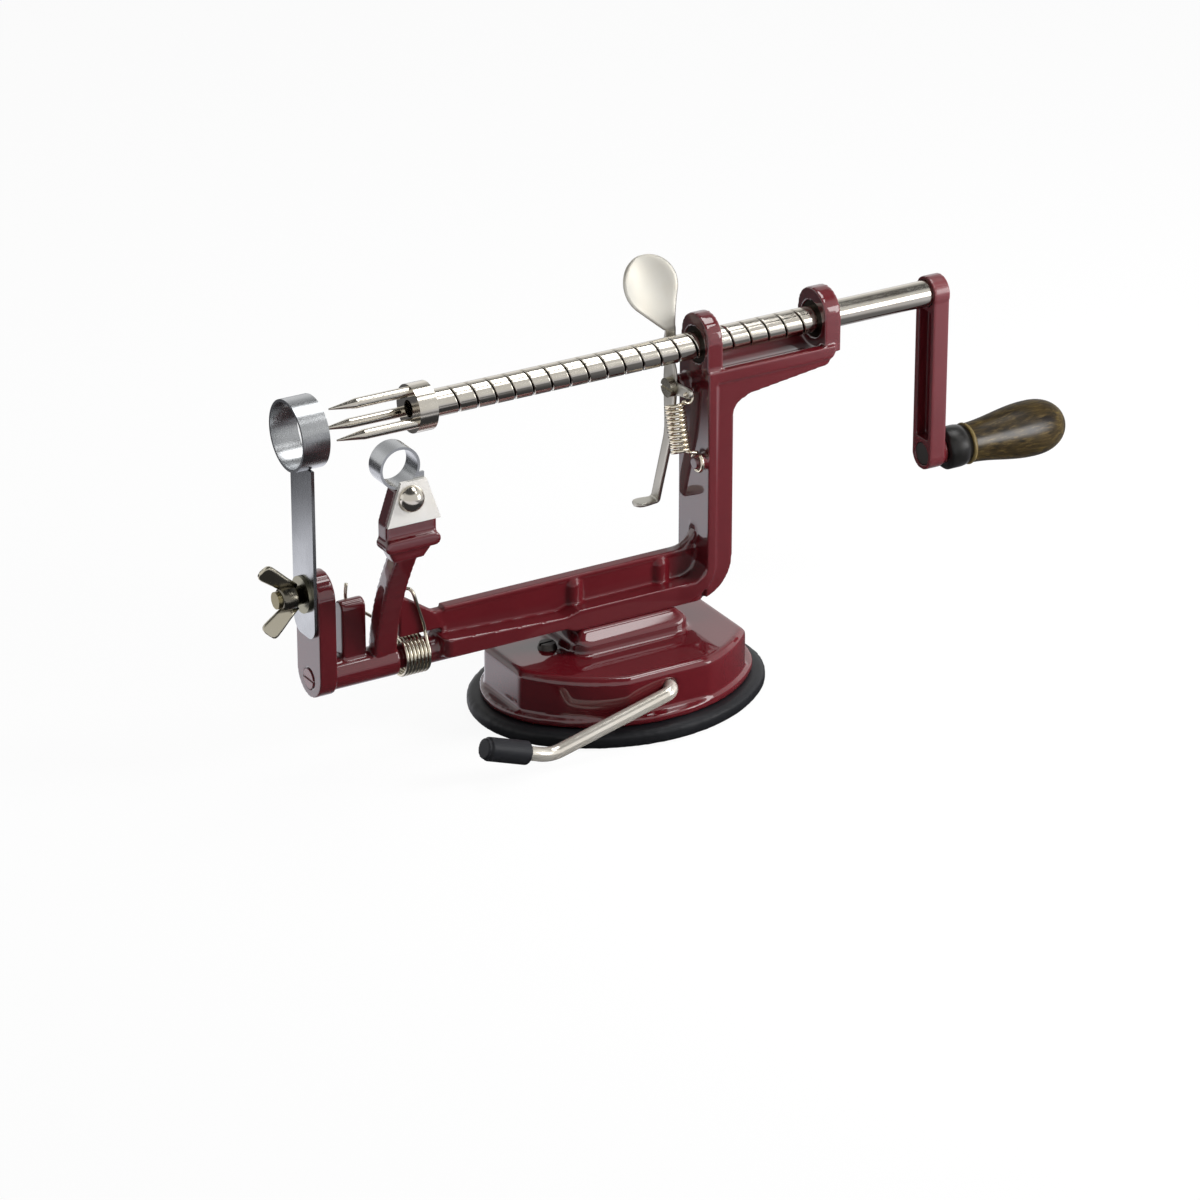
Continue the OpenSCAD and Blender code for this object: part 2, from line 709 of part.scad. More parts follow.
// Spiral groove: rings of four corners along one helix, counted from the side of the release lever
thread_segs = 20;
flank = 0.25;
groove_front = plate_mid - thread_pitch + groove_w / 2;
thread_x0 = groove_front - thread_pitch * floor((groove_front + shaft_front - 1.5) / thread_pitch);
thread_x1 = thread_x0 + thread_pitch * thread_turns;
thread_end = thread_x1 + thread_pitch + 1.5;
thread_rings = thread_segs * thread_turns;
function on_shaft(k, x, r) = let (a = 360 * k / thread_segs) [x, r * cos(a), axis_z + r * sin(a)];
corner_x = [0, thread_pitch - groove_w, thread_pitch - groove_w + flank, thread_pitch - flank];
corner_r_list = [shaft_r, shaft_r, shaft_r - groove_deep, shaft_r - groove_deep];

// Threaded length as one closed skin: helix, the run out of its last turn, and two flat ends
module threaded_length() {
    rows = thread_rings + 1;
    helix = [for (k = [0:thread_rings], j = [0:3])
        on_shaft(k, thread_x0 + thread_pitch * k / thread_segs + corner_x[j], corner_r_list[j])];
    run_out = [for (k = [1:thread_segs])
        on_shaft(thread_rings + k, thread_x1 + thread_pitch * k / thread_segs, shaft_r)];
    front = [for (k = [0:thread_segs - 1]) on_shaft(k, -shaft_front, shaft_r)];
    back = [for (k = [0:thread_segs - 1]) on_shaft(thread_rings + k, thread_end, shaft_r)];
    n = thread_segs;
    f0 = rows * 4 + n;
    b0 = f0 + n;
    function at(k, j) = j < 4 ? 4 * k + j : k + n <= thread_rings ? 4 * (k + n)
        : rows * 4 + k + n - thread_rings - 1;
    function fr(k) = f0 + k % n;
    function bk(k) = b0 + k % n;
    skin = [for (k = [0:thread_rings - 1], j = [0:3])
        each [[at(k, j), at(k, j + 1), at(k + 1, j + 1)], [at(k, j), at(k + 1, j + 1), at(k + 1, j)]]];
    front_collar = [for (k = [0:n - 2])
        each [[fr(k), at(k, 0), at(k + 1, 0)], [fr(k), at(k + 1, 0), fr(k + 1)]]];
    s = at(n - 1, 0);
    front_seam = [[s, fr(0), fr(n - 1)], [s, at(0, 0), fr(0)], [s, at(0, 1), at(0, 0)],
        [s, at(n, 0), at(0, 1)], [at(0, 1), at(n, 0), at(0, 3)], [at(0, 1), at(0, 3), at(0, 2)]];
    m = thread_rings;
    back_collar = [for (k = [1:n - 1])
        each [[at(m - n + k, 4), bk(k), at(m - n + k + 1, 4)], [at(m - n + k + 1, 4), bk(k), bk(k + 1)]]];
    q = at(m - n + 1, 4);
    back_seam = [[q, at(m, 0), at(m, 1)], [q, at(m, 1), at(m, 4)], [q, at(m, 4), bk(0)], [q, bk(0), bk(1)],
        [at(m, 1), at(m, 2), at(m, 3)], [at(m, 1), at(m, 3), at(m, 4)]];
    ends = [for (k = [1:n - 2]) each [[fr(0), fr(k), fr(k + 1)], [bk(0), bk(k + 1), bk(k)]]];
    polyhedron(concat(helix, run_out, front, back),
        concat(skin, front_collar, front_seam, back_collar, back_seam, ends), convexity = 10);
}

fork_spigot_d = 6;
shank_d = shaft_d + 0.02;

// Plated shaft: fork spigot, grooved length, and the smooth shank that carries the crank
module feed_screw() {
    color(nickel) {
        rod_x(-shaft_front - fork_hub_len, -shaft_front, fork_spigot_d, z = axis_z);
        threaded_length();
        rod_x(thread_end, crank_back, shank_d, z = axis_z);
    }
}

fork_hub_d = 2 * prong_ring_r + prong_d + 1;

// Fork with three pointed prongs, fixed on the front end of the shaft
module fruit_fork() {
    tip_len = prong_len / 3;
    hub_x = -shaft_front - fork_hub_len;
    color(nickel) difference() {
        union() {
            rod_x(hub_x, -shaft_front, fork_hub_d, z = axis_z);
            for (a = [90, 210, 330]) translate([hub_x, prong_ring_r * cos(a), axis_z + prong_ring_r * sin(a)])
                rotate([0, -90, 0]) {
                    translate([0, 0, -1]) cylinder(d = prong_d, h = prong_len - tip_len + 1);
                    translate([0, 0, prong_len - tip_len]) cylinder(d1 = prong_d, d2 = 0.6, h = tip_len);
                }
        }
        rod_x(hub_x - 1, -shaft_front + 1, fork_spigot_d + 2 * fix_clear, z = axis_z);
    }
}

// Crank and grip

grip_boss = 2;
ferrule_x = crank_back + grip_boss + 2 * run_clear;
grip_x = ferrule_x + ferrule_len;
spindle_head = 1.5;
spindle_in_grip = grip_len * 0.75;

// Enamelled crank arm with a boss at each end and a sunk inner face
module crank_arm() {
    color(enamel) difference() {
        union() {
            along_x(crank_x, crank_back) link(axis_z, crank_boss_d, grip_z, crank_boss_d - 0.8, crank_w);
            rod_x(crank_back - 1, crank_back + grip_boss, crank_boss_d - 2, z = grip_z);
        }
        along_x(crank_x - 1, crank_x + crank_sunk)
            translate([-crank_w / 2 + 2, grip_z + crank_boss_d / 2])
            square([crank_w - 4, crank_r - crank_boss_d]);
        rod_x(crank_x - 1, crank_back + 1, shaft_d + 2 * fix_clear, z = axis_z);
        rod_x(crank_x - 1, crank_back + grip_boss + 1, spindle_d + 2 * fix_clear, z = grip_z);
        rod_x(crank_x - 1, crank_x + spindle_head + 0.5, spindle_d + 3.4, z = grip_z);
    }
}

// Spindle riveted into the crank arm, on which the grip turns
module grip_spindle() {
    color(nickel) {
        rod_x(crank_x + 0.5, grip_x + spindle_in_grip, spindle_d, z = grip_z);
        rod_x(crank_x + 0.5, crank_x + spindle_head + 0.5, spindle_d + 3, z = grip_z);
    }
}

// Black ferrule at the neck of the grip
module grip_ferrule() {
    color(black) difference() {
        union() {
            rod_x(ferrule_x, grip_x - 1, ferrule_d, z = grip_z);
            rod_x(ferrule_x + 1, grip_x, ferrule_d - 1, z = grip_z);
        }
        rod_x(ferrule_x - 1, grip_x + 1, spindle_d + 2 * run_clear, z = grip_z);
    }
}

// Half profile of the grip: waist, long swell and a round end
grip_steps = 18;
function grip_r(t) = t < 0.66
    ? waist_d / 2 + (grip_d - waist_d) / 2 * pow(sin(90 * t / 0.66), 2)
    : grip_d / 2 * sqrt(1 - pow((t - 0.66) / 0.34, 2.4));

// Turned wood grip with a blind bore for the spindle
module wood_grip() {
    color(walnut) translate([grip_x, 0, grip_z]) rotate([0, 90, 0]) difference() {
        rotate_extrude() polygon(concat([[0, 0]],
            [for (i = [0:grip_steps]) let (t = i / grip_steps) [max(grip_r(t), 0.01), t * grip_len]],
            [[0, grip_len]]));
        translate([0, 0, -1]) cylinder(d = spindle_d + 2 * run_clear, h = spindle_in_grip + 1 + air_gap);
    }
}

// Release lever

tab_lean = 25;
tab_low = [plate_mid, pivot_y + 2.6, axis_z + 4.4];
neck_in = shaft_r + 0.6;
neck_w = 5.4;
finger_t = 0.8;
finger_h = 2.2;
ear_y = pivot_y - 9.4;
ear_z = pivot_z - 1;
tail_y = pivot_y + 3;
tail_root = 20;
tail_out = 9;
tail_end_y = tail_y + tail_out;
tail_end_z = pivot_z - tail_len;

// Lower edge of the ear, from its root to its tip, as (y, z)
ear_root = [pivot_y - 1.5, pivot_z - 5];
ear_tip = [ear_y - 2.6, ear_z];
ear_slope = (ear_tip.y - ear_root.y) / (ear_tip.x - ear_root.x);

// Flat outline of the stamped lever, as (y, z)
module lever_outline() {
    translate([neck_in, axis_z - 8]) square([neck_w, tab_low.z - axis_z + 10]);
    polygon([[neck_in, axis_z - 7], [neck_in + neck_w, axis_z - 7], [pivot_y + 6.5, pivot_z],
        [tail_y + tail_w / 2, pivot_z - tail_root], [tail_y - tail_w / 2, pivot_z - tail_root],
        ear_root, ear_tip, ear_tip + [0, 4], [pivot_y - 2, pivot_z + 6]]);
    polygon([[tail_y - tail_w / 2, pivot_z - tail_root + 1], [tail_y + tail_w / 2, pivot_z - tail_root + 1],
        [tail_end_y + tail_w / 2, tail_end_z], [tail_end_y - tail_w / 2, tail_end_z]]);
}

// Thumb tab as (x, height): a disc set to the front, drawn in to the neck
module tab_outline() {
    mid = [-3, tab_h - tab_w / 2];
    translate(mid) circle(d = tab_w);
    polygon([mid - [tab_w / 2, 1], [-plate_t, 0], [plate_t, 0], mid + [tab_w / 2, -1]]);
}

// Stamped lever: thumb tab, neck with a finger in the groove, ear, tail and bent foot
module release_lever() {
    color(nickel) difference() {
        union() {
            along_x(plate_x0, plate_x1) lever_outline();
            translate([plate_x0, tail_end_y - tail_w / 2, tail_end_z])
                translate([-tail_foot, 0, 0]) cube([tail_foot + plate_t, tail_w, plate_t]);
            translate([plate_mid - finger_t / 2, shaft_r - groove_deep + air_gap, axis_z - finger_h / 2])
                cube([finger_t, neck_in - shaft_r + groove_deep + 0.5, finger_h]);
            translate(tab_low) rotate([-tab_lean, 0, 0]) along_y(-plate_t / 2, plate_t / 2) tab_outline();
        }
        rod_x(plate_x0 - 1, plate_x1 + 1, pivot_d + 2 * run_clear, pivot_y, pivot_z);
    }
}

// Pivot screw with a slotted cheese head
module pivot_screw() {
    head_t = 2.4;
    color(nickel) difference() {
        union() {
            rod_x(plate_x0 - 2 * run_clear, upright_x + pivot_bite - 0.5, pivot_d, pivot_y, pivot_z);
            rod_x(plate_x0 - run_clear - head_t, plate_x0 - run_clear, pivot_d + 3, pivot_y, pivot_z);
        }
        translate([plate_x0 - head_t - 0.5, pivot_y, pivot_z]) cube([2, pivot_d + 4, 0.8], center = true);
    }
}

// Extension spring between the lever's ear and the frame's post, its coil in front of both
pull_hook = [plate_mid, ear_y, ear_root.y + ear_slope * (ear_y - ear_root.x) - pull_wire / 2 - air_gap];
pull_post = [upright_x - post_len / 2, post_y, post_z + post_d / 2 + pull_wire / 2 + air_gap];
pull_top = [plate_mid - 2.85, pivot_y - 5.65, pivot_z - 4.2];
pull_low = [plate_mid - 2.85, post_y + 1.8, post_z + 3.6];
pull_axis = unit(pull_low - pull_top);
pull_rows = curl_rings * pull_turns;
function pull_at(i) = let (s = i / pull_rows, a = 50 + (360 * pull_turns - 22) * s)
    pull_top + s * (pull_low - pull_top)
    + pull_coil_d / 2 * (cos(a) * [1, 0, 0] + sin(a) * cross(pull_axis, [1, 0, 0]));
pull_path = concat([pull_hook], [for (i = [0:pull_rows]) pull_at(i)], [pull_post]);

module lever_spring() {
    echo(lever_spring_gap = self_gap(pull_path, pull_wire));
    color(nickel) wire(pull_path, pull_wire, [1, 0, 0]);
}

// Blade bracket

strap_x0 = -bracket_front - run_clear - blade_t;
washer_t = 1.2;
washer_d = 13;
nut_len = 8;
nut_foot_d = 11.5;
nut_top_d = 9.6;
wing_reach = 14.5;
wing_t = 2.4;
nut_x = strap_x0 - run_clear - washer_t - run_clear;
bolt_head_t = 3;

// Enamelled bracket on the end of the spigot
module blade_bracket() {
    color(enamel) difference() {
        along_x(-bracket_front, -bracket_x)
            link(spigot_z + 1.8, bracket_w, bracket_top - bracket_w / 2, bracket_w, bracket_w);
        rod_x(-bracket_front + 1, -bracket_x + 1, spigot_end_d + 2 * fix_clear, z = spigot_z);
        rod_x(-bracket_front - 1, -bracket_front + 2, bracket_screw_d + 2 * fix_clear, z = spigot_z);
        rod_x(-bracket_front - 1, -bracket_front + 0.5, 2 * bracket_screw_d + 1, z = spigot_z);
        rod_x(-bracket_front - 1, -bracket_x + 1, bolt_d + 2 * fix_clear, z = bolt_z);
        rod_x(-bracket_x - bolt_head_t, -bracket_x + 1, 1.7 * bolt_d + 2 * fix_clear, z = bolt_z);
    }
}

// Screw that draws the bracket on to the spigot
module bracket_screw() {
    color(nickel) difference() {
        union() {
            rod_x(-bracket_front - 0.4, -bracket_front + 0.5, 2 * bracket_screw_d, z = spigot_z);
            rod_x(-bracket_front, -bracket_front + screw_hole - 1, bracket_screw_d, z = spigot_z);
        }
        translate([-bracket_front - 0.4, 0, spigot_z]) cube([0.8, 3 * bracket_screw_d, 0.9], center = true);
    }
}

// Slicing blade: slotted strap, slicing edge and the corer ring on the shaft's axis
module slicer_blade() {
    ring_t = 1;
    end_r = 5;
    color(nickel) difference() {
        union() {
            along_x(strap_x0, strap_x0 + blade_t) {
                translate([-blade_w / 2, blade_low + end_r])
                    square([blade_w, axis_z - corer_d / 2 - blade_low - end_r]);
                round_rect(-blade_w / 2, blade_low, blade_w / 2, blade_low + 4 * end_r, end_r);
                translate([0, axis_z]) circle(d = corer_d + 2 * ring_t);
            }
            rod_x(strap_x0 - corer_len / 2, strap_x0 + corer_len / 2, corer_d + 2 * ring_t, z = axis_z);
        }
        rod_x(strap_x0 - corer_len, strap_x0 + corer_len, corer_d, z = axis_z);
        along_x(strap_x0 - 1, strap_x0 + blade_t + 1)
            link(bolt_z - blade_play - 0.5, bolt_d + 0.6, bolt_z + blade_play + 0.5, bolt_d + 0.6, bolt_d + 0.6);
    }
}

// Bolt through the bracket, its head let into the back
module blade_bolt() {
    color(nickel) {
        rod_x(nut_x - nut_len - 1.5, -bracket_x - 1, bolt_d, z = bolt_z);
        rod_x(-bracket_x - bolt_head_t + 0.2, -bracket_x - 0.2, 1.7 * bolt_d, z = bolt_z);
    }
}

module blade_washer() {
    color(nickel) difference() {
        rod_x(nut_x + run_clear, nut_x + run_clear + washer_t, washer_d, z = bolt_z);
        rod_x(nut_x - 1, strap_x0, bolt_d + 2 * fix_clear, z = bolt_z);
    }
}

// Wing nut with two swept wings, outlined in shares of their reach and of the half span
wing_shape = [[0.04, 0.3], [0.48, 0.3], [0.97, 0.67], [1, 0.92], [0.86, 1], [0.55, 0.87], [0.2, 0.54]];

module wing_nut() {
    wing_lean = 7.5;
    color(nickel) difference() {
        translate([nut_x, 0, bolt_z]) {
            rotate([0, -90, 0]) cylinder(d1 = nut_foot_d, d2 = nut_top_d, h = nut_len);
            rotate([-wing_lean, 0, 0]) for (s = [1, -1]) along_y(-wing_t / 2, wing_t / 2)
                polygon([for (p = wing_shape) [-wing_reach * p.x, s * wing_span / 2 * p.y]]);
        }
        rod_x(nut_x - nut_len - 1, nut_x + 1, bolt_d + 2 * run_clear, z = bolt_z);
    }
}

// Peeling arm

hub_x1 = -bracket_x + air_gap + hub_len;
hub_x0 = -bracket_x + air_gap;
hub_mid = hub_x1 - limb_t / 2;
limb_low = [-1.5, spigot_z + 4];
bow_out = 9.5;
bow_rise = 30.5;
limb_bow = [-bow_out, spigot_z + bow_rise];
limb_top = [-blade_pad_y + blade_pad_t / 2, blade_pad_z + 5];
limb_lean = atan2(blade_pad_x + hub_mid - 2.5, limb_top.y - spigot_z);
limb_steps = 10;
function limb_mid(s) = (1 - s) * (1 - s) * limb_low + 2 * s * (1 - s) * limb_bow + s * s * limb_top;
function limb_dir(s) = unit((1 - s) * (limb_bow - limb_low) + s * (limb_top - limb_bow));
function limb_side(s, w) = limb_mid(s) + w * [limb_dir(s).y, -limb_dir(s).x];
clamp_y = -blade_pad_y - knife_t;
clamp_low = blade_pad_z + 9;
clamp_h = blade_pad_h - 5.8;
clamp_low_w = blade_pad_w + 0.8;
clamp_top_w = blade_pad_w / 2;
clamp_inset = 0.4;
clamp_screw_x = -blade_pad_x - 1.1;
clamp_screw_z = blade_pad_z + 18;
clamp_screw_d = 4;

// Half width of the clamp plate at a height
function clamp_half(z) = clamp_low_w / 2 - (clamp_low_w - clamp_top_w) / 2 * (z - clamp_low) / clamp_h;

// Block under the clamp plate, as (x, z): upright below, then drawn in as the plate is
module pad_outline() {
    top = blade_pad_z + blade_pad_h;
    top_half = clamp_half(top) - clamp_inset;
    low_half = clamp_half(clamp_low) - clamp_inset;
    polygon([[-low_half, blade_pad_z], [low_half, blade_pad_z], [low_half, clamp_low], [top_half, top],
        [-top_half, top], [-low_half, clamp_low]]);
}

// Flare from the limb to the shelf under the block, as (x, z)
shelf_w = blade_pad_w + 1.6;
shelf_h = 4.6;
shelf_out = 1.6;
flare_low_w = limb_t + 2.6;
flare_h = 5;

module flare_outline() {
    polygon([[-flare_low_w / 2 - 1, blade_pad_z - flare_h], [flare_low_w / 2 - 1, blade_pad_z - flare_h],
        [shelf_w / 2 - 1.5, blade_pad_z], [1.5 - shelf_w / 2, blade_pad_z]]);
}

// Enamelled arm: hub on the spigot, bowed limb, stop lug and the pad that carries the blade
module peeling_arm() {
    steps = [0:limb_steps];
    color(enamel) difference() {
        union() {
            rod_x(hub_x0, hub_x1, hub_d, z = spigot_z);
            translate([hub_mid, 0, spigot_z]) rotate([0, -limb_lean, 0]) translate([0, 0, -spigot_z])
                along_x(-limb_t / 2, limb_t / 2) polygon(concat(
                    [for (i = steps) limb_side(i / limb_steps, limb_w / 2)],
                    [for (i = steps) limb_side(1 - i / limb_steps, -limb_w / 2)]));
            along_y(-blade_pad_y, -blade_pad_y + blade_pad_t) translate([-blade_pad_x, 0]) {
                pad_outline();
                flare_outline();
            }
            along_y(-blade_pad_y - shelf_out, -blade_pad_y + blade_pad_t)
                round_rect(-blade_pad_x - shelf_w / 2, blade_pad_z - 1, -blade_pad_x + shelf_w / 2,
                    blade_pad_z - 1 + shelf_h, shelf_h / 2 - 0.1);
            along_x(hub_x0 + 5, hub_x0 + 14)
                link(spigot_z, lug_t, spigot_z + lug_rise - lug_t / 2, lug_t, lug_t);
        }
        rod_x(hub_x0 - 1, hub_x1 + 1, spigot_d + 2 * run_clear, z = spigot_z);
        rod_y(-blade_pad_y - 1, -blade_pad_y + blade_pad_t + 1, clamp_screw_d + 2 * fix_clear,
            clamp_screw_x, clamp_screw_z);
    }
}

// Torsion spring round the spigot: one leg hooks over the ear, the other bears on the stop lug
coil_r = arm_coil_d / 2;
coil_x1 = -bar_front - shoulder_len - arm_wire / 2 - air_gap;
coil_rows = curl_rings * arm_turns + 5;
coil_len = arm_coil_pitch * coil_rows / curl_rings;
coil_x0 = coil_x1 - coil_len;
function coil_at(i) = let (a = -360 * i / curl_rings)
    [coil_x0 + coil_len * i / coil_rows, coil_r * cos(a), spigot_z + coil_r * sin(a)];
hook_y = ear_t / 2 + arm_wire / 2 + air_gap;
hook_top = ear_top + 1.6;
lug_side = lug_t / 2 + arm_wire / 2 + air_gap;
lug_leg = [[hub_x0 + 10, lug_side, spigot_z + lug_rise + 4], [hub_x0 + 10, lug_side, spigot_z + lug_rise - 3],
    [hub_x0 + 17, coil_r, spigot_z + 17], [coil_x0 - 1.6, coil_r + 0.2, spigot_z + 10],
    [coil_x0 - 0.3, coil_r, spigot_z + 5]];
ear_leg = [[coil_x1, -hook_y - 0.5, spigot_z + 7.8], [coil_x1 - 0.5, -hook_y, ear_low + 4],
    [coil_x1 - 3, -hook_y, ear_top - 3], [coil_x1 - 4, -hook_y + 0.6, hook_top - 0.6],
    [coil_x1 - 4.6, 0, hook_top], [coil_x1 - 5.2, hook_y - 0.6, hook_top - 0.6],
    [coil_x1 - 5.6, hook_y, ear_top - 3], [coil_x1 - 5.6, hook_y, ear_top - 5]];
arm_path = concat(lug_leg, [for (i = [0:coil_rows]) coil_at(i)], ear_leg);

module arm_spring() {
    echo(arm_spring_gap = self_gap(arm_path, arm_wire));
    color(nickel) wire(arm_path, arm_wire, [1, 0, 0]);
}

// Plate that clamps the peeling blade to the pad
module blade_clamp() {
    color(nickel) along_y(clamp_y - clamp_t, clamp_y) difference() {
        translate([-blade_pad_x, clamp_low]) polygon([[-clamp_low_w / 2, 0], [clamp_low_w / 2, 0],
            [clamp_top_w / 2, clamp_h], [-clamp_top_w / 2, clamp_h]]);
        translate([clamp_screw_x, clamp_screw_z]) circle(d = clamp_screw_d + 2 * fix_clear);
    }
}

// Loop of the peeling blade, as (x, z): a round eye drawn in to a neck
loop_neck = [-blade_pad_x + 0.7, clamp_low + clamp_h + 1];
loop_mid = [-blade_pad_x - 4.3, blade_pad_z + blade_pad_h + loop_d / 2 + 2 * air_gap];

module drop_outline(d, neck_w) {
    v = loop_neck - loop_mid;
    side = unit([-v.y, v.x]);
    translate(loop_mid) circle(d = d);
    polygon([loop_mid + d / 2 * side, loop_neck + neck_w / 2 * side,
        loop_neck - neck_w / 2 * side, loop_mid - d / 2 * side]);
}

// Looped strip that peels, with its tongue under the clamp plate
module peel_blade() {
    tongue_w = 9;
    loop_y0 = clamp_y + fix_clear;
    color(nickel) difference() {
        union() {
            along_y(loop_y0, loop_y0 + knife_w) drop_outline(loop_d, 5);
            along_y(clamp_y, -blade_pad_y) translate([-blade_pad_x - tongue_w / 2, clamp_low + 2])
                square([tongue_w, clamp_h]);
        }
        along_y(loop_y0 - 1, loop_y0 + knife_w + 1) drop_outline(loop_d - 2 * knife_t, 5 - 2 * knife_t);
        rod_y(clamp_y - 1, -blade_pad_y + 1, clamp_screw_d + 2 * fix_clear, clamp_screw_x, clamp_screw_z);
    }
}

// Dome head screw of the clamp plate
module clamp_screw() {
    dome_d = 9.4;
    dome_h = 4.2;
    dome_r = (dome_d * dome_d / 4 + dome_h * dome_h) / (2 * dome_h);
    face_y = clamp_y - clamp_t;
    color(nickel) {
        rod_y(face_y - 1, -blade_pad_y + blade_pad_t, clamp_screw_d, clamp_screw_x, clamp_screw_z);
        intersection() {
            translate([clamp_screw_x, face_y - dome_h + dome_r, clamp_screw_z]) sphere(r = dome_r);
            rod_y(face_y - dome_h, face_y, dome_d, clamp_screw_x, clamp_screw_z);
        }
    }
}

base_housing();
suction_pad();
pull_stud();
suction_lever();
lever_cap();
housing_screw();
frame_screws();
frame_casting();
shaft_bushes();
feed_screw();
fruit_fork();
crank_arm();
grip_spindle();
grip_ferrule();
wood_grip();
release_lever();
pivot_screw();
lever_spring();
blade_bracket();
bracket_screw();
slicer_blade();
blade_bolt();
blade_washer();
wing_nut();
peeling_arm();
arm_spring();
blade_clamp();
peel_blade();
clamp_screw();
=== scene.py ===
import math

import bmesh
import bpy
from mathutils import Matrix, Quaternion, Vector


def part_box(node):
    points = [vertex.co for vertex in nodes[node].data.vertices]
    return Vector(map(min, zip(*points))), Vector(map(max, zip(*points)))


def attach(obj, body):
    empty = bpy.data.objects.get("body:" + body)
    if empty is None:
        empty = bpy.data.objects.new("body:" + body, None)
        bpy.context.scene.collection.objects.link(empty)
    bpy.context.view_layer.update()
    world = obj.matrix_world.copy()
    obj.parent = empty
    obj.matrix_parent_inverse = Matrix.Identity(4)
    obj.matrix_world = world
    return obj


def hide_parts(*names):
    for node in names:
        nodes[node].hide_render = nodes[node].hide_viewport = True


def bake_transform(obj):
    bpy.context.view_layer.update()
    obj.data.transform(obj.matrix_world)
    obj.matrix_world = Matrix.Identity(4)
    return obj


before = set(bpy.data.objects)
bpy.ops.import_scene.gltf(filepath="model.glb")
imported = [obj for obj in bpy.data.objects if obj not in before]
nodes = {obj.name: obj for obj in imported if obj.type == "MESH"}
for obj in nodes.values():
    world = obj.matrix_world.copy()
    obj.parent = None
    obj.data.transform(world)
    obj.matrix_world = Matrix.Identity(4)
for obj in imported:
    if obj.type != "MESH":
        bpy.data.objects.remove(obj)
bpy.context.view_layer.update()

# Rubber suction pad
# A thick oval of moulded black rubber under the housing. Its rim is rounded and a
# little dusty, and the plated stud in its middle hangs from the locking lever.

mm = 0.001


class Field:
    """A value in a node tree, so that shader maths reads as an expression."""

    def __init__(self, paint, socket):
        self.paint = paint
        self.socket = socket

    def maths(self, operation, first, second):
        return self.paint.node("ShaderNodeMath", {"operation": operation}, {0: first, 1: second})

    def __add__(self, other):
        return self.maths("ADD", self, other)

    __radd__ = __add__

    def __sub__(self, other):
        return self.maths("SUBTRACT", self, other)

    def __rsub__(self, other):
        return self.maths("SUBTRACT", other, self)

    def __mul__(self, other):
        return self.maths("MULTIPLY", self, other)

    __rmul__ = __mul__

    def __pow__(self, other):
        return self.maths("POWER", self, other)


class Paint:
    """Node tree of a material or a world: its one shader, and node() for every other node."""

    def __init__(self, owner, constants):
        owner.use_nodes = True
        self.owner = owner
        self.tree = owner.node_tree
        self.shader = next(node for node in self.tree.nodes if node.outputs)
        self.set(self.shader, constants)

    def set(self, node, sockets):
        for name, value in sockets.items():
            if isinstance(value, Field):
                self.tree.links.new(value.socket, node.inputs[name])
            else:
                node.inputs[name].default_value = value

    def node(self, kind, settings, sockets, output=0):
        made = self.tree.nodes.new(kind)
        for name, value in settings.items():
            setattr(made, name, value)
        self.set(made, sockets)
        return Field(self, made.outputs[output])

    def place(self, stretch=(1, 1, 1)):
        """Place on the object in metres, stretched along the axes."""
        coords = self.node("ShaderNodeTexCoord", {}, {}, "Object")
        return self.node("ShaderNodeVectorMath", {"operation": "MULTIPLY"}, {0: coords, 1: stretch})

    def part(self, vector, axis):
        """One coordinate of a place or direction: 0, 1 or 2 for X, Y or Z."""
        return self.node("ShaderNodeSeparateXYZ", {}, {0: vector}, axis)

    def noise(self, size, detail=3, stretch=(1, 1, 1), rough=0.5):
        """Cloudy pattern whose patches are about size metres across."""
        sockets = {"Vector": self.place(stretch), "Scale": 1 / size, "Detail": detail, "Roughness": rough}
        return self.node("ShaderNodeTexNoise", {}, sockets)

    def between(self, value, low, high):
        """0 below low, 1 above high, and smooth between them."""
        return self.node("ShaderNodeMapRange", {"interpolation_type": "SMOOTHSTEP"},
                         {"Value": value, "From Min": low, "From Max": high})

    def blend(self, amount, first, second):
        """Mix of two colours."""
        return self.node("ShaderNodeMix", {"data_type": "RGBA"}, {0: amount, 6: first, 7: second}, 2)

    def edges(self, low, high):
        """1 on the sharpest outer edges, 0 elsewhere."""
        return self.between(self.node("ShaderNodeNewGeometry", {}, {}, "Pointiness"), low, high)

    def finish(self, colour, rough, height, depth, strength):
        """Feeds what varies over the surface to the shader, and returns the material."""
        bump = self.node("ShaderNodeBump", {}, {"Height": height, "Distance": depth, "Strength": strength})
        self.set(self.shader, {"Base Color": colour, "Roughness": rough, "Normal": bump})
        return self.owner


def rubber(name, dust):
    paint = Paint(bpy.data.materials.new(name), {"Specular IOR Level": 0.3})
    speck = paint.noise(0.6 * mm, 4)
    smear = paint.noise(14 * mm, 4, (1, 1, 2))
    colour = paint.blend(smear * dust, (0.0040, 0.0042, 0.0052, 1), (0.030, 0.031, 0.037, 1))
    return paint.finish(colour, 0.36 + 0.2 * smear, speck, 0.06 * mm, 0.35)


def dress(obj, material):
    """Gives an object its only material, and smooth shading."""
    obj.data.materials.clear()
    obj.data.materials.append(material)
    obj.data.polygons.foreach_set("use_smooth", [True] * len(obj.data.polygons))
    return obj


def soften(obj, grain, passes):
    """Rounds the edges of a moulded or cast solid: a fine even mesh, then smoothing."""
    remesh = obj.modifiers.new("even mesh", "REMESH")
    remesh.mode = "VOXEL"
    remesh.voxel_size = grain
    remesh.use_smooth_shade = True
    smooth = obj.modifiers.new("round edges", "SMOOTH")
    smooth.factor = 0.5
    smooth.iterations = passes
    return obj


dress(soften(nodes["suction_pad"], 0.8 * mm, 6), rubber("pad rubber", 0.25))

# Housing of the foot
# A die cast shell with flat ends and a ridge that carries the bar, sprayed with
# thick burgundy enamel. A small dark screw shows in front of the ridge.


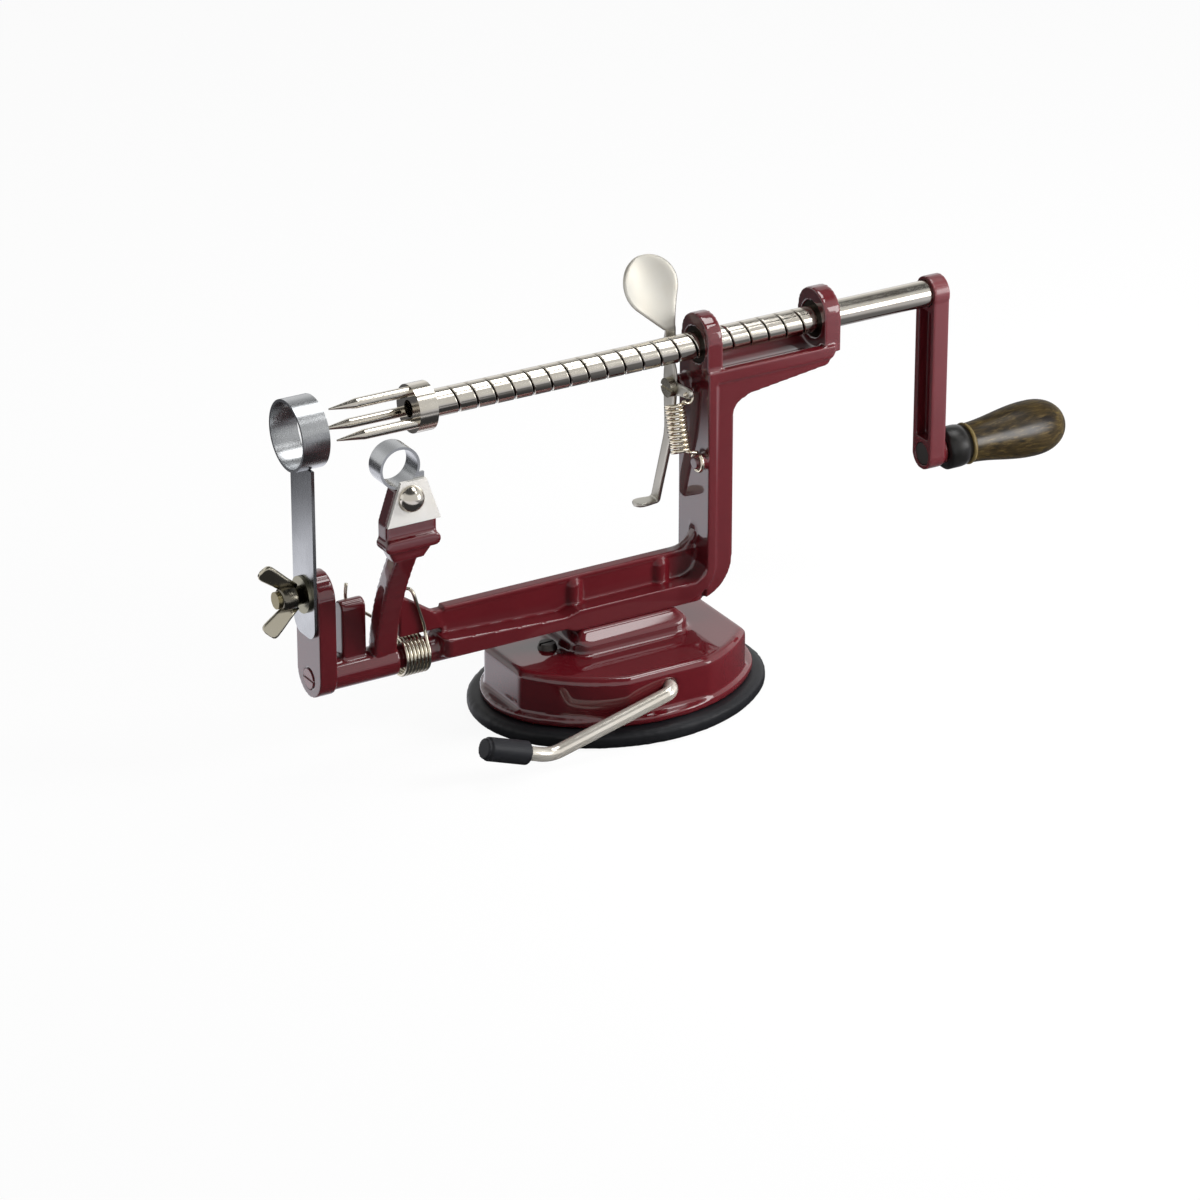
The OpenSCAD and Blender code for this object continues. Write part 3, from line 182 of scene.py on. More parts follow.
def enamel(name, gloss=0.05, sand=None, haze=0.12):
    """Burgundy enamel under a hard gloss: haze is its sheen, sand the share of cast grain at a place."""
    coat = {"Specular IOR Level": haze, "Coat Roughness": gloss, "Coat IOR": 1.8}
    paint = Paint(bpy.data.materials.new(name), coat)
    cloud = paint.noise(18 * mm, 3)
    pits = paint.noise(0.9 * mm, 5, rough=0.62)
    peel = paint.noise(2.6 * mm, 2)
    colour = paint.blend(cloud, (0.076, 0.0042, 0.0072, 1), (0.108, 0.0062, 0.0105, 1))
    # Lighter red along the sharpest edges: partly thin, worn enamel, partly a painted highlight.
    colour = paint.blend(paint.edges(0.52, 0.60) * 0.5, colour, (0.26, 0.034, 0.044, 1))
    grain = sand(paint) if sand else 0.1
    paint.set(paint.shader, {"Coat Weight": 1 - 0.8 * grain})
    return paint.finish(colour, 0.34 + 0.1 * pits, 0.5 * peel + grain * pits, 0.10 * mm, 0.3)


dress(soften(nodes["base_housing"], 0.6 * mm, 24), enamel("housing enamel", haze=0.03))


def bevel(obj, width, segments=2):
    """Breaks the sharp edges of a turned, stamped or ground piece."""
    cut = obj.modifiers.new("broken edges", "BEVEL")
    cut.width = width
    cut.segments = segments
    cut.limit_method = "ANGLE"
    cut.angle_limit = math.radians(35)
    cut.harden_normals = True
    return obj


def dark_steel(name):
    paint = Paint(bpy.data.materials.new(name), {"Metallic": 1.0})
    stain = paint.noise(1.5 * mm, 4)
    colour = paint.blend(stain, (0.020, 0.018, 0.018, 1), (0.085, 0.078, 0.072, 1))
    return paint.finish(colour, 0.3 + 0.2 * stain, stain, 0.05 * mm, 0.2)


dress(bevel(nodes["housing_screw"], 0.2 * mm), dark_steel("blackened screw"))

# Locking lever of the foot
# A nickel plated round bar, bent twice, with a black vinyl cap pushed on its free end.
# Its eccentric turns in the yoke of the stud and pulls the pad up.


def plating(name, tone=(0.72, 0.69, 0.63), rough=0.14, along=(1, 1, 1), metal=1.0, dark_share=None):
    """Bright nickel with fine lines; the last argument gives the share of near black at a place: painted
    shade in the shaft's groove, a darker hub on the wing nut.
    """
    paint = Paint(bpy.data.materials.new(name), {"Metallic": metal})
    haze = paint.noise(7 * mm, 4)
    lines = paint.noise(0.25 * mm, 3, along)
    warm = tuple(c * k for c, k in zip(tone, (0.86, 0.82, 0.75))) + (1,)
    colour = paint.blend(haze, warm, tone + (1,))
    if dark_share:
        colour = paint.blend(dark_share(paint), colour, (0.016, 0.013, 0.010, 1))
    return paint.finish(colour, rough * (0.7 + 0.5 * haze) + 0.05 * lines, lines, 0.02 * mm, 0.06)


def circle(count):
    """Angles of points that are spaced evenly round a circle."""
    return [2 * math.pi * k / count for k in range(count)]


def tube(path, radius, sides=14):
    """Rings of a round bar or wire that follows a path of points."""
    rings = []
    side = (path[1] - path[0]).orthogonal()
    for i, point in enumerate(path):
        ahead = (path[min(i + 1, len(path) - 1)] - path[max(i - 1, 0)]).normalized()
        side = (side - side.dot(ahead) * ahead).normalized()
        other = ahead.cross(side)
        rings.append([point + radius * (math.cos(a) * side + math.sin(a) * other) for a in circle(sides)])
    return rings


def piece(name, *skins):
    """New object of closed skins; a skin is a list of rings of points, capped at both ends."""
    shape = bmesh.new()
    for rings in skins:
        rows = [[shape.verts.new(point) for point in ring] for ring in rings]
        count = len(rings[0])
        for low, high in zip(rows, rows[1:]):
            for k in range(count):
                after = (k + 1) % count
                shape.faces.new((low[k], low[after], high[after], high[k]))
        shape.faces.new(rows[0])
        shape.faces.new(rows[-1])
    bmesh.ops.recalc_face_normals(shape, faces=shape.faces)
    mesh = bpy.data.meshes.new(name)
    shape.to_mesh(mesh)
    shape.free()
    obj = bpy.data.objects.new(name, mesh)
    bpy.context.scene.collection.objects.link(obj)
    return obj


def bent(corners, radii, steps=10):
    """Points along a bent line, with an arc of its own radius at each inner corner."""
    path = [corners[0]]
    for before, corner, after, radius in zip(corners, corners[1:], corners[2:], radii):
        back = (before - corner).normalized()
        ahead = (after - corner).normalized()
        half = back.angle(ahead) / 2
        centre = corner + (back + ahead).normalized() * radius / math.sin(half)
        arm = corner + back * radius / math.tan(half) - centre
        turn = Quaternion(arm.cross(corner - centre), (math.pi - 2 * half) / steps)
        for _ in range(steps + 1):
            path.append(centre + arm)
            arm = turn @ arm
    return path + [corners[-1]]


def rides(obj, body, material, slot, *stands_for):
    """Dresses a new piece, fixes it to its body and hides the solids that it stands for."""
    dress(obj, material)
    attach(obj, body)
    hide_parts(*stands_for)
    return obj


lever_low, lever_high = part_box("suction_lever")
lever_r = 2.5 * mm
lever_y = lever_low.y + lever_r
lever_z = 17.2 * mm
lever_corners = [
    Vector((0, lever_high.y, lever_z)),
    Vector((0, lever_y, lever_z)),
    Vector((-49.5 * mm, lever_y, 4.6 * mm)),
    Vector((-73 * mm, lever_y, 12.8 * mm)),
]
cam_r = 4.5 * mm
cam_half = 3.8 * mm
cam_mid = Vector((-0.9 * mm, 0, lever_z - 1.56 * mm))
cam_ends = [cam_mid - Vector((0, cam_half, 0)), cam_mid + Vector((0, cam_half, 0))]
lever_path = bent(lever_corners, (4 * mm, 14 * mm))
lever = piece("locking_lever_bar", tube(lever_path, lever_r, 28), tube(cam_ends, cam_r, 40))
lever_finish = plating("lever plating", (0.86, 0.83, 0.77), 0.15, metal=0.7)
rides(lever, "locking_lever", lever_finish, "plated", "suction_lever")
dress(soften(nodes["pull_stud"], 0.5 * mm, 24), plating("stud plating"))
dress(soften(nodes["lever_cap"], 0.3 * mm, 5), rubber("cap vinyl", 0.6))

# Frame
# One iron casting, bar, upright, top arm and eyes, in the housing's enamel. The sunk
# web of the bar keeps the grain of the sand mould. Two screws hold it from below.


def web_sand(paint):
    """1 on the bar's sunk web, 0 on its lips and on the rest of the casting."""
    spot = paint.place()
    side = paint.part(spot, 1)
    inside = 1 - paint.between(side * side, (3 * mm) ** 2, (4.5 * mm) ** 2)
    return 0.9 * inside * (1 - paint.between(paint.part(spot, 0), 19 * mm, 25 * mm))


dress(soften(nodes["frame_casting"], 0.5 * mm, 7), enamel("frame enamel", sand=web_sand))
dress(nodes["frame_screws"], plating("screw plating"))

# Feed screw with its fork
# A plated bar with one narrow right-hand groove, which the lever's finger follows.
# It turns in two bushes and carries the three pronged fork on its front end.

shaft_low, shaft_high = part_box("feed_screw")
axis_z = (shaft_low.z + shaft_high.z) / 2
shaft_r = (shaft_high.z - shaft_low.z) / 2
shaft_front = -74 * mm
pitch = 7.2 * mm
groove_half = 0.44 * mm
groove_flank = 0.22 * mm
groove_deep = 0.8 * mm
groove_at = 25.75 * mm
groove_ends = (-66 * mm, 77 * mm)
shaft_chamfer = 0.6 * mm


def shaft_radius(x, angle):
    """Radius of the shaft at a place along it and an angle round it."""
    turn = ((x - groove_at) / pitch - angle / (2 * math.pi)) % 1
    off = min(turn, 1 - turn) * pitch
    inside = groove_ends[0] < x < groove_ends[1]
    notch = min(1, max(0, (groove_half - off) / groove_flank)) if inside else 0
    end = min(x - shaft_front, shaft_high.x - x)
    return shaft_r - groove_deep * notch - max(0, shaft_chamfer - end)


def shaft_rings(around=64, step=0.14 * mm):
    count = round((shaft_high.x - shaft_front) / step)
    for i in range(count + 1):
        x = shaft_front + (shaft_high.x - shaft_front) * i / count
        spokes = [(shaft_radius(x, a), a) for a in circle(around)]
        yield [Vector((x, r * math.cos(a), axis_z + r * math.sin(a))) for r, a in spokes]


def off_axis(paint, spot, height):
    """Distance of a place from a line along X at a height."""
    out = paint.part(spot, 1)
    rise = paint.part(spot, 2) - height
    return (out * out + rise * rise) ** 0.5


def groove_painted_shade(paint):
    """Painted shade in the groove: 1 at its bottom, 0 on the shaft's outside."""
    off = off_axis(paint, paint.place(), axis_z)
    return 1 - paint.between(off, shaft_r - 0.5 * mm, shaft_r - 0.12 * mm)


shaft_finish = plating("shaft plating", rough=0.11, along=(1, 8, 8), dark_share=groove_painted_shade)
rides(piece("feed_shaft", list(shaft_rings())), "shaft", shaft_finish, "plated", "feed_screw")
dress(bevel(nodes["fruit_fork"], 0.3 * mm), plating("fork plating"))


# The bushes sit deep in the eyes: their near black colour is painted shade.
def bronze(name):
    paint = Paint(bpy.data.materials.new(name), {"Metallic": 1.0})
    stain = paint.noise(3 * mm, 4)
    colour = paint.blend(stain, (0.012, 0.009, 0.007, 1), (0.030, 0.022, 0.015, 1))
    return paint.finish(colour, 0.40 + 0.15 * stain, stain, 0.03 * mm, 0.2)


dress(bevel(nodes["shaft_bushes"], 0.2 * mm), bronze("bronze in painted shade"))

# Crank
# An enamelled flat arm with a boss at each end and a sunk inner face, which has little
# gloss. The spindle of the grip is riveted in its lower boss.


def inner_face(paint):
    """1 on what faces the frame, 0 on the rest of the arm."""
    facing = paint.part(paint.node("ShaderNodeNewGeometry", {}, {}, "Normal"), 0)
    return 1 - paint.between(facing, -0.9, -0.5)


dress(soften(nodes["crank_arm"], 0.4 * mm, 6), enamel("crank enamel", 0.28, inner_face))
dress(bevel(nodes["grip_spindle"], 0.3 * mm), plating("rivet plating", (0.10, 0.09, 0.085), 0.3))

# Grip
# Turned walnut with a dark stain and thick clear lacquer. A black ferrule covers its
# neck, and a thin bead of bare wood shows beside the ferrule.


def turned(start, profile, sides=72):
    """Rings of a turned piece along X: profile holds (distance along, radius)."""
    spokes = [(math.cos(a), math.sin(a)) for a in circle(sides)]
    return [[start + Vector((along, r * c, r * s)) for c, s in spokes] for along, r in profile]


grip_low, grip_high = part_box("wood_grip")
grip_len = grip_high.x - grip_low.x
grip_r = (grip_high.z - grip_low.z) / 2
waist_r = 7.2 * mm
swell = 0.66
bead = 1.3 * mm
bead_rise = 0.45 * mm


def grip_radius(t):
    """Half thickness of the grip at a share t of its length: bead, waist, swell and round end."""
    if t < swell:
        ring = math.sin(math.pi * min(t * grip_len / bead, 1))
        return waist_r + bead_rise * ring + (grip_r - waist_r) * math.sin(math.pi / 2 * t / swell) ** 2
    return max(grip_r * math.sqrt(max(0, 1 - ((t - swell) / (1 - swell)) ** 2.4)), 0.05 * mm)


def walnut(name):
    varnish = {"Coat Weight": 0.3, "Coat Roughness": 0.3, "Specular IOR Level": 0.0}
    paint = Paint(bpy.data.materials.new(name), varnish)
    blotch = paint.noise(4 * mm, 4, (0.5, 1, 1))
    grain = paint.noise(0.9 * mm, 4, (0.16, 1, 1), 0.6)
    pores = paint.between(paint.noise(0.5 * mm, 2, (0.14, 1, 1)), 0.56, 0.70)
    stained = paint.between(blotch, 0.35, 0.65)
    colour = paint.blend(stained, (0.0050, 0.0032, 0.0015, 1), (0.024, 0.016, 0.0054, 1))
    colour = paint.blend(paint.between(grain, 0.46, 0.72) * 0.7, colour, (0.072, 0.049, 0.0150, 1))
    colour = paint.blend(pores * 0.7, colour, (0.0050, 0.0034, 0.0022, 1))
    bare = 1 - paint.between(paint.part(paint.place(), 0), grip_low.x + 0.8 * bead, grip_low.x + 1.4 * bead)
    colour = paint.blend(bare * 0.8, colour, (0.105, 0.076, 0.028, 1))
    return paint.finish(colour, 0.28 + 0.12 * grain, grain - pores, 0.05 * mm, 0.2)


grip_start = Vector((grip_low.x, 0, (grip_low.z + grip_high.z) / 2))
grip_steps = 120
grip_profile = [(grip_len * i / grip_steps, grip_radius(i / grip_steps)) for i in range(grip_steps + 1)]
rides(piece("turned_grip", turned(grip_start, grip_profile)), "grip", walnut("walnut"), "wood", "wood_grip")

ferrule_low, ferrule_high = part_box("grip_ferrule")
ferrule_r = (ferrule_high.z - ferrule_low.z) / 2
ferrule_len = ferrule_high.x - ferrule_low.x
ferrule_start = Vector((ferrule_low.x, 0, grip_start.z))
ferrule_profile = [
    (0, ferrule_r - 1.6 * mm),
    (0.4 * mm, ferrule_r - 0.6 * mm),
    (1.2 * mm, ferrule_r),
    (ferrule_len - 3.2 * mm, ferrule_r),
    (ferrule_len - 1.6 * mm, ferrule_r - 0.25 * mm),
    (ferrule_len - 1.1 * mm, ferrule_r - 0.8 * mm),
    (ferrule_len, ferrule_r - 0.9 * mm),
]


def lacquer(name):
    paint = Paint(bpy.data.materials.new(name), {"Specular IOR Level": 0.4})
    scuff = paint.noise(2 * mm, 4)
    colour = paint.blend(scuff, (0.003, 0.003, 0.003, 1), (0.009, 0.008, 0.007, 1))
    return paint.finish(colour, 0.24 + 0.2 * scuff, scuff, 0.05 * mm, 0.2)


ferrule = piece("neck_ferrule", turned(ferrule_start, ferrule_profile))
rides(ferrule, "grip", lacquer("black lacquer"), "ferrule", "grip_ferrule")

# Release lever
# A stamped and plated strip: bent foot, tail, ear, neck with a finger in the groove, and
# a dished thumb tab that is twisted to face the user. A slotted screw is its pivot.


def strip(stations, half_t, steps=12):
    """Rings of a flat strip with round edges; a station holds middle, across, half width and dish."""
    rings = []
    for i, (middle, across, half, dish) in enumerate(stations):
        ahead = (stations[min(i + 1, len(stations) - 1)][0] - stations[max(i - 1, 0)][0]).normalized()
        across = (across - across.dot(ahead) * ahead).normalized()
        face = ahead.cross(across)
        front = []
        back = []
        for k in range(steps + 1):
            u = -math.cos(math.pi * k / steps)
            rise = half_t * math.sqrt(max(0, 1 - u ** 8))
            core = middle + half * u * across + dish * u * u * face
            front.append(core + rise * face)
            back.append(core - rise * face)
        rings.append(front + back[-2:0:-1])
    return rings


def smoothly(t):
    t = min(1, max(0, t))
    return t * t * (3 - 2 * t)


plate_x = 25.75
foot_line = [(17, 0.4), (17.4, 1.9), (18.2, 2.8), (19.4, 3.2), (20.8, 3.2), (22.6, 2.9), (24.2, 2.6)]
foot_y, foot_z = 17, 61.75
bend_r = 1.55
bend_steps = 6
tail_line = [
    (70, 14.4, 2.45), (80, 11.2, 2.5), (88, 8.65, 2.5), (92, 7.9, 2.6), (97, 7.6, 3.1),
    (104, 7.35, 3.85), (109, 7.25, 4.25), (113, 7.1, 4.15), (115, 7.2, 3.8), (118, 7.9, 2.8),
]
tail_up = Vector((0, -0.304, 0.953))
tail_across = Vector((0, 0.953, 0.304))
lever_stations = []


def station(middle, across, half, dish=0.0):
    lever_stations.append((Vector(middle) * mm, Vector(across), half * mm, dish * mm))


for x, half in foot_line:
    station((x, foot_y, foot_z), (0, 1, 0), half)
for k in range(1, bend_steps + 1):
    a = math.pi / 2 * k / bend_steps
    bend_foot = Vector((foot_line[-1][0] + bend_r * math.sin(a), foot_y, foot_z))
    middle = bend_foot + bend_r * (1 - math.cos(a)) * tail_up
    station(middle, Vector((0, 1, 0)).lerp(tail_across, k / bend_steps), tail_line[0][2])
for z, y, half in tail_line:
    station((plate_x, y, z), (0, 1, 0), half)
tab_foot = Vector((plate_x, 7.6, 129.4))
tab_up = Vector((-0.245, 0.407, 0.880))
tab_inward = Vector((0, 0.9063, -0.4226))
tab_foot_half = 2.1
tab_slope = 0.649
tab_tangent = 10.7
tab_round = 10.8
tab_round_at = 16.6
tab_len = tab_round_at + tab_round
tab_dish = 1.6


def tab_across(z):
    """The strip turns a quarter about itself between the neck and the tab."""
    a = math.pi / 2 * smoothly((z - 119) / 9.5)
    return Vector((-math.sin(a), math.cos(a), 0))


for z in (120, 121.5, 123, 124.5, 126, 127.5):
    y = 8.0 - 0.4 * smoothly((z - 122) / 7)
    station((plate_x, y, z), tab_across(z), 2.6 - 0.5 * smoothly((z - 120) / 8))
tab_heights = [0.65 * k for k in range(26)]
tab_heights += [tab_round_at + tab_round * math.sin(math.radians(8 * k + 4)) for k in range(11)]
for h in tab_heights:
    half = math.sqrt(max(0, tab_round ** 2 - (h - tab_round_at) ** 2))
    if h < tab_tangent:
        half = tab_foot_half + tab_slope * h
    middle = tab_foot + h * tab_up + math.sin(math.pi * h / tab_len) * tab_inward
    station(middle, tab_across(tab_foot.z + h), half, tab_dish * (half / tab_round) ** 2)
ear_stations = []
for y, half in ((4, 2.6), (1, 2.2), (-2, 2), (-4, 2), (-5.6, 1.7), (-6.5, 1.1), (-6.9, 0.4)):
    ear_stations.append((Vector((plate_x, y, 109 - 0.13 * y)) * mm, Vector((0, 0, 1)), half * mm, 0.0))
finger_path = [Vector((plate_x, y, 125)) * mm for y in (6.5, 5.2, 4.3)]
finger_r = 0.3 * mm
plate_half = 0.75 * mm
lever_strip = piece("release_strip", strip(lever_stations, plate_half), strip(ear_stations, plate_half),
                    tube(finger_path, finger_r, 12))
strip_finish = plating("stamped plating", (0.62, 0.61, 0.57), 0.48)
rides(lever_strip, "release", strip_finish, "plated", "release_lever")
dress(bevel(nodes["pivot_screw"], 0.25 * mm), plating("pivot plating", (0.40, 0.38, 0.32), 0.25))

# Spring of the release lever
# Close wound plated wire. One end hooks in the lever's ear, the other rings the frame's
# post, so it keeps the finger in the groove. The wire is drawn at rest and stays put as the lever turns.


def smooth_line(points, steps=6):
    """Finer points on a smooth curve through the given ones."""
    line = []
    for i in range(len(points) - 1):
        a, b, c, d = (points[min(max(k, 0), len(points) - 1)] for k in (i - 1, i, i + 1, i + 2))
        for k in range(steps):
            t = k / steps
            line.append(0.5 * (2 * b + (c - a) * t + (2 * a - 5 * b + 4 * c - d) * t * t
                               + (3 * b - a - 3 * c + d) * t ** 3))
    return line + [points[-1]]


def ring_path(centre, first, second, radius, start, sweep, steps=16):
    """Points on an arc in the plane of two unit vectors, by angles in degrees."""
    path = []
    for k in range(steps + 1):
        a = math.radians(start + sweep * k / steps)
        path.append(centre + radius * (math.cos(a) * first + math.sin(a) * second))
    return path


x_way, y_way, z_way = Vector((1, 0, 0)), Vector((0, 1, 0)), Vector((0, 0, 1))
coil_top = Vector((22.6, -0.65, 104.8)) * mm
coil_low = Vector((22.6, -5.4, 88.1)) * mm
coil_r = 3.05 * mm
coil_turns = 10
coil_steps = 28
coil_axis = (coil_low - coil_top).normalized()
coil_side = coil_axis.cross(x_way).normalized()
coil_path = []
for i in range(coil_turns * coil_steps + 1):
    share = i / (coil_turns * coil_steps)
    a = math.radians(50 + (360 * coil_turns - 22) * share)
    middle = coil_top.lerp(coil_low, share)
    coil_path.append(middle + coil_r * (math.cos(a) * x_way + math.sin(a) * coil_side))
ear_ring = ring_path(Vector((plate_x, -4.6, 107.9)) * mm, x_way, z_way, 1.9 * mm, 150, -300)
post_ring = ring_path(Vector((28.2, -7.2, 84.5)) * mm, y_way, z_way, 3.3 * mm, 80, -320, 28)
spring_path = ear_ring[:-1] + smooth_line([ear_ring[-1], coil_path[0]]) + coil_path[1:-1]
spring_path += smooth_line([coil_path[-1], post_ring[0]]) + post_ring[1:]


def spring_between(name, path, radius, material, node):
    """Wire spring in place of a solid, which it hides; the wire stays fixed in the world."""
    wire = dress(piece(name, tube(path, radius, 10)), material)
    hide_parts(node)
    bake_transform(wire)


coil_wire_r = 0.68 * mm
coil_finish = plating("spring plating", (0.95, 0.88, 0.74), 0.2)
spring_between("lever_coil", spring_path, coil_wire_r, coil_finish,
               "lever_spring")

# Blade bracket with the slicing blade
# An enamelled bracket is drawn on to the spigot by a screw, which is sprayed over with it.
# A bolt, a washer and a cast wing nut clamp the slotted blade, so it can be set anew.

dress(soften(nodes["blade_bracket"], 0.4 * mm, 5), enamel("bracket enamel"))
dress(bevel(nodes["bracket_screw"], 0.2 * mm), enamel("painted screw"))


def ground_steel(name, along):
    paint = Paint(bpy.data.materials.new(name), {"Metallic": 1.0})
    lines = paint.noise(0.3 * mm, 3, along)
    haze = paint.noise(9 * mm, 3)
    colour = paint.blend(haze, (0.34, 0.35, 0.36, 1), (0.50, 0.51, 0.52, 1))
    return paint.finish(colour, 0.2 + 0.12 * lines, lines, 0.02 * mm, 0.25)


dress(bevel(nodes["slicer_blade"], 0.2 * mm), ground_steel("slicer steel", (1, 1, 0.06)))
dress(bevel(nodes["blade_bolt"], 0.3 * mm), plating("bolt plating", (0.24, 0.21, 0.12), 0.3))
dress(bevel(nodes["blade_washer"], 0.2 * mm), plating("washer plating", (0.28, 0.27, 0.20), 0.3))

nut_start = Vector((-123.35, 0, 66.3)) * mm
hub_profile = [(0, 3.2), (-2, 3.3), (-2.3, 3.9), (-2.9, 4.2), (-5.8, 4.2), (-7.2, 4), (-7.8, 3.4)]
wing_line = [
    (-2.6, 2.6, 2.4), (-6, 5.3, 2.6), (-9.5, 8.1, 3), (-11.8, 9.9, 3.2), (-12.7, 10.6, 3),
    (-13.2, 11, 2.4), (-13.4, 11.2, 1.2),
]
wing_lean = math.radians(7.5)
wing_tilt = math.radians(25)
wing_face = Vector((0, -math.cos(wing_lean), math.sin(wing_lean)))
nut_skins = [turned(nut_start, [(along * mm, r * mm) for along, r in hub_profile], 40)]
for side in (1, -1):
    outward = side * wing_face.cross(x_way)
    inner_way = -0.62 * x_way - 0.784 * outward
    wing_across = math.cos(wing_tilt) * inner_way - math.sin(wing_tilt) * wing_face
    wing_stations = [(nut_start + (along * x_way + out * outward) * mm, wing_across, half * mm, 0.0)
                     for along, out, half in wing_line]
    nut_skins.append(strip(wing_stations, 0.9 * mm))


def darker_hub(paint):
    """Darker on the hub, most of it on the thread beside the washer."""
    spot = paint.place()
    hub = 1 - paint.between(off_axis(paint, spot, nut_start.z), 4.3 * mm, 5.0 * mm)
    thread = paint.between(paint.part(spot, 0), nut_start.x - 2.9 * mm, nut_start.x - 2.1 * mm)
    return 0.65 * hub + 0.3 * thread


nut_finish = plating("wing nut plating", (0.56, 0.53, 0.44), 0.24, dark_share=darker_hub)
rides(piece("wing_nut_cast", *nut_skins), "wing", nut_finish, "plated", "wing_nut")

# Peeling arm
# An enamelled casting that turns on the spigot. A plate and a dome head screw clamp the
# looped blade on its pad, and a torsion spring draws it in.

dress(soften(nodes["peeling_arm"], 0.45 * mm, 9), enamel("arm enamel"))
dress(bevel(nodes["blade_clamp"], 0.25 * mm), plating("clamp plating", (0.93, 0.92, 0.89), 0.16, metal=0.5))
dress(bevel(nodes["peel_blade"], 0.15 * mm), ground_steel("peeling steel", (1, 0.2, 1)))
dress(bevel(nodes["clamp_screw"], 0.2 * mm), plating("dome plating"))

spigot_z = 34.6 * mm
torsion_r = 6.6 * mm
torsion_x0, torsion_x1 = -86.96 * mm, -77.55 * mm
torsion_turns = 53 / 8
torsion_steps = 186
lug_leg = [(-104, 3.75, 64.6), (-104, 3.75, 57.6), (-97, 6.6, 51.6), (-88.6, 6.8, 44.6), (-87.3, 6.6, 39.6)]
ear_leg = [(-77.55, -3.25, 42.4), (-78.05, -2.75, 46.25), (-80.55, -2.75, 54.3), (-81.8, -2.1, 58.6),
           (-83, 0, 59.3), (-86, 2.2, 58), (-87, 2.75, 54)]
torsion_coil = []
for i in range(torsion_steps + 1):
    share = i / torsion_steps
    a = -2 * math.pi * torsion_turns * share
    along = torsion_x0 + (torsion_x1 - torsion_x0) * share
    torsion_coil.append(Vector((along, torsion_r * math.cos(a), spigot_z + torsion_r * math.sin(a))))
torsion_path = smooth_line([Vector(p) * mm for p in lug_leg] + torsion_coil[:1])[:-1] + torsion_coil[:-1]
torsion_path += smooth_line(torsion_coil[-1:] + [Vector(p) * mm for p in ear_leg])
torsion_wire_r = 0.62 * mm
torsion_finish = plating("arm spring plating", (0.72, 0.68, 0.58), 0.17)
spring_between("torsion_coil", torsion_path, torsion_wire_r, torsion_finish,
               "arm_spring")

# Table
# A white table top on which the piece stands, nearly pure white to the camera. In gloss
# it shows darker in front of the piece, apart from a bright patch near the user.

table_half = 6
table_corners = [(x * table_half, y * table_half, 0) for x, y in ((-1, -1), (1, -1), (1, 1), (-1, 1))]
table = bpy.data.meshes.new("table")
table.from_pydata(table_corners, [], [(0, 1, 2, 3)])
floor = bpy.data.objects.new("floor", table)
bpy.context.scene.collection.objects.link(floor)
cloth = Paint(bpy.data.materials.new("white table"), {"Roughness": 0.9, "Base Color": (0.9, 0.9, 0.9, 1)})
table_spot = cloth.place()
to_right = cloth.part(table_spot, 0)
to_back = cloth.part(table_spot, 1)
in_front = 0.05 + 0.12 * cloth.between(to_right, 0.02, 0.12) + 0.5 * cloth.between(to_right, 0.19, 0.27)
near_patch = (1 - cloth.between(to_back, -0.27, -0.21)) * (1 - cloth.between(to_right, 0.05, 0.11))
in_front = in_front + 0.9 * near_patch
left_back = (1 - cloth.between(to_right, -0.03, 0.03)) * (1 - cloth.between(to_back, 0.16, 0.21))
behind = 0.12 + 1.2 * left_back + 0.55 * cloth.between(to_right, 0.13, 0.22)
gleam = in_front + cloth.between(to_back, -0.01, 0.04) * (behind - in_front)


def dimmed(paint, colour, amount):
    """A colour times a value."""
    return paint.node("ShaderNodeVectorMath", {"operation": "SCALE"}, {0: colour, "Scale": amount})


plain = cloth.node("ShaderNodeEmission", {}, {"Color": (1, 1, 1, 1), "Strength": 1.0})
tint = dimmed(cloth, (0.94, 0.94, 1), gleam)
glow = cloth.node("ShaderNodeEmission", {}, {"Color": tint, "Strength": 1.0})
lit = Field(cloth, cloth.shader.outputs[0])
mirrored = cloth.node("ShaderNodeLightPath", {}, {}, "Is Glossy Ray")
seen = cloth.node("ShaderNodeLightPath", {}, {}, "Is Camera Ray")
surface = cloth.node("ShaderNodeMixShader", {}, {0: mirrored, 1: lit, 2: glow})
surface = cloth.node("ShaderNodeMixShader", {}, {0: 0.93 * seen, 1: surface, 2: plain})
cloth.set(cloth.tree.nodes["Material Output"], {"Surface": surface})
dress(floor, cloth.owner)

# Room
# A dim room that the camera sees as white. In gloss it shows a bright backdrop, which is
# dimmer high up behind the piece and dark overhead.

world = bpy.data.worlds.new("studio")
bpy.context.scene.world = world
sky = Paint(world, {"Strength": 1.0})
way = sky.node("ShaderNodeTexCoord", {}, {}, "Generated")
height = sky.part(way, 2)
depth = sky.part(way, 1)
high = sky.between(height, 0.66, 0.82)
front_wall = 0.75
back_wall = 1.0 - 0.4 * sky.between(height, 0.42, 0.58)
shine = front_wall + sky.between(depth, -0.1, 0.1) * (back_wall - front_wall)
shine = shine + high * (0.08 - shine)
mirrored = sky.node("ShaderNodeLightPath", {}, {}, "Is Glossy Ray")
seen = sky.node("ShaderNodeLightPath", {}, {}, "Is Camera Ray")
room = 0.22
level = seen + (1 - seen) * (room + mirrored * (shine - room))
sky.set(sky.shader, {"Color": dimmed(sky, (1, 1, 1), level)})

# Lamps
# A near lamp on the right and a weak one above light the piece. A window in front and two
# panels above show in its gloss, and the glint shows only in the varnish of the grip.


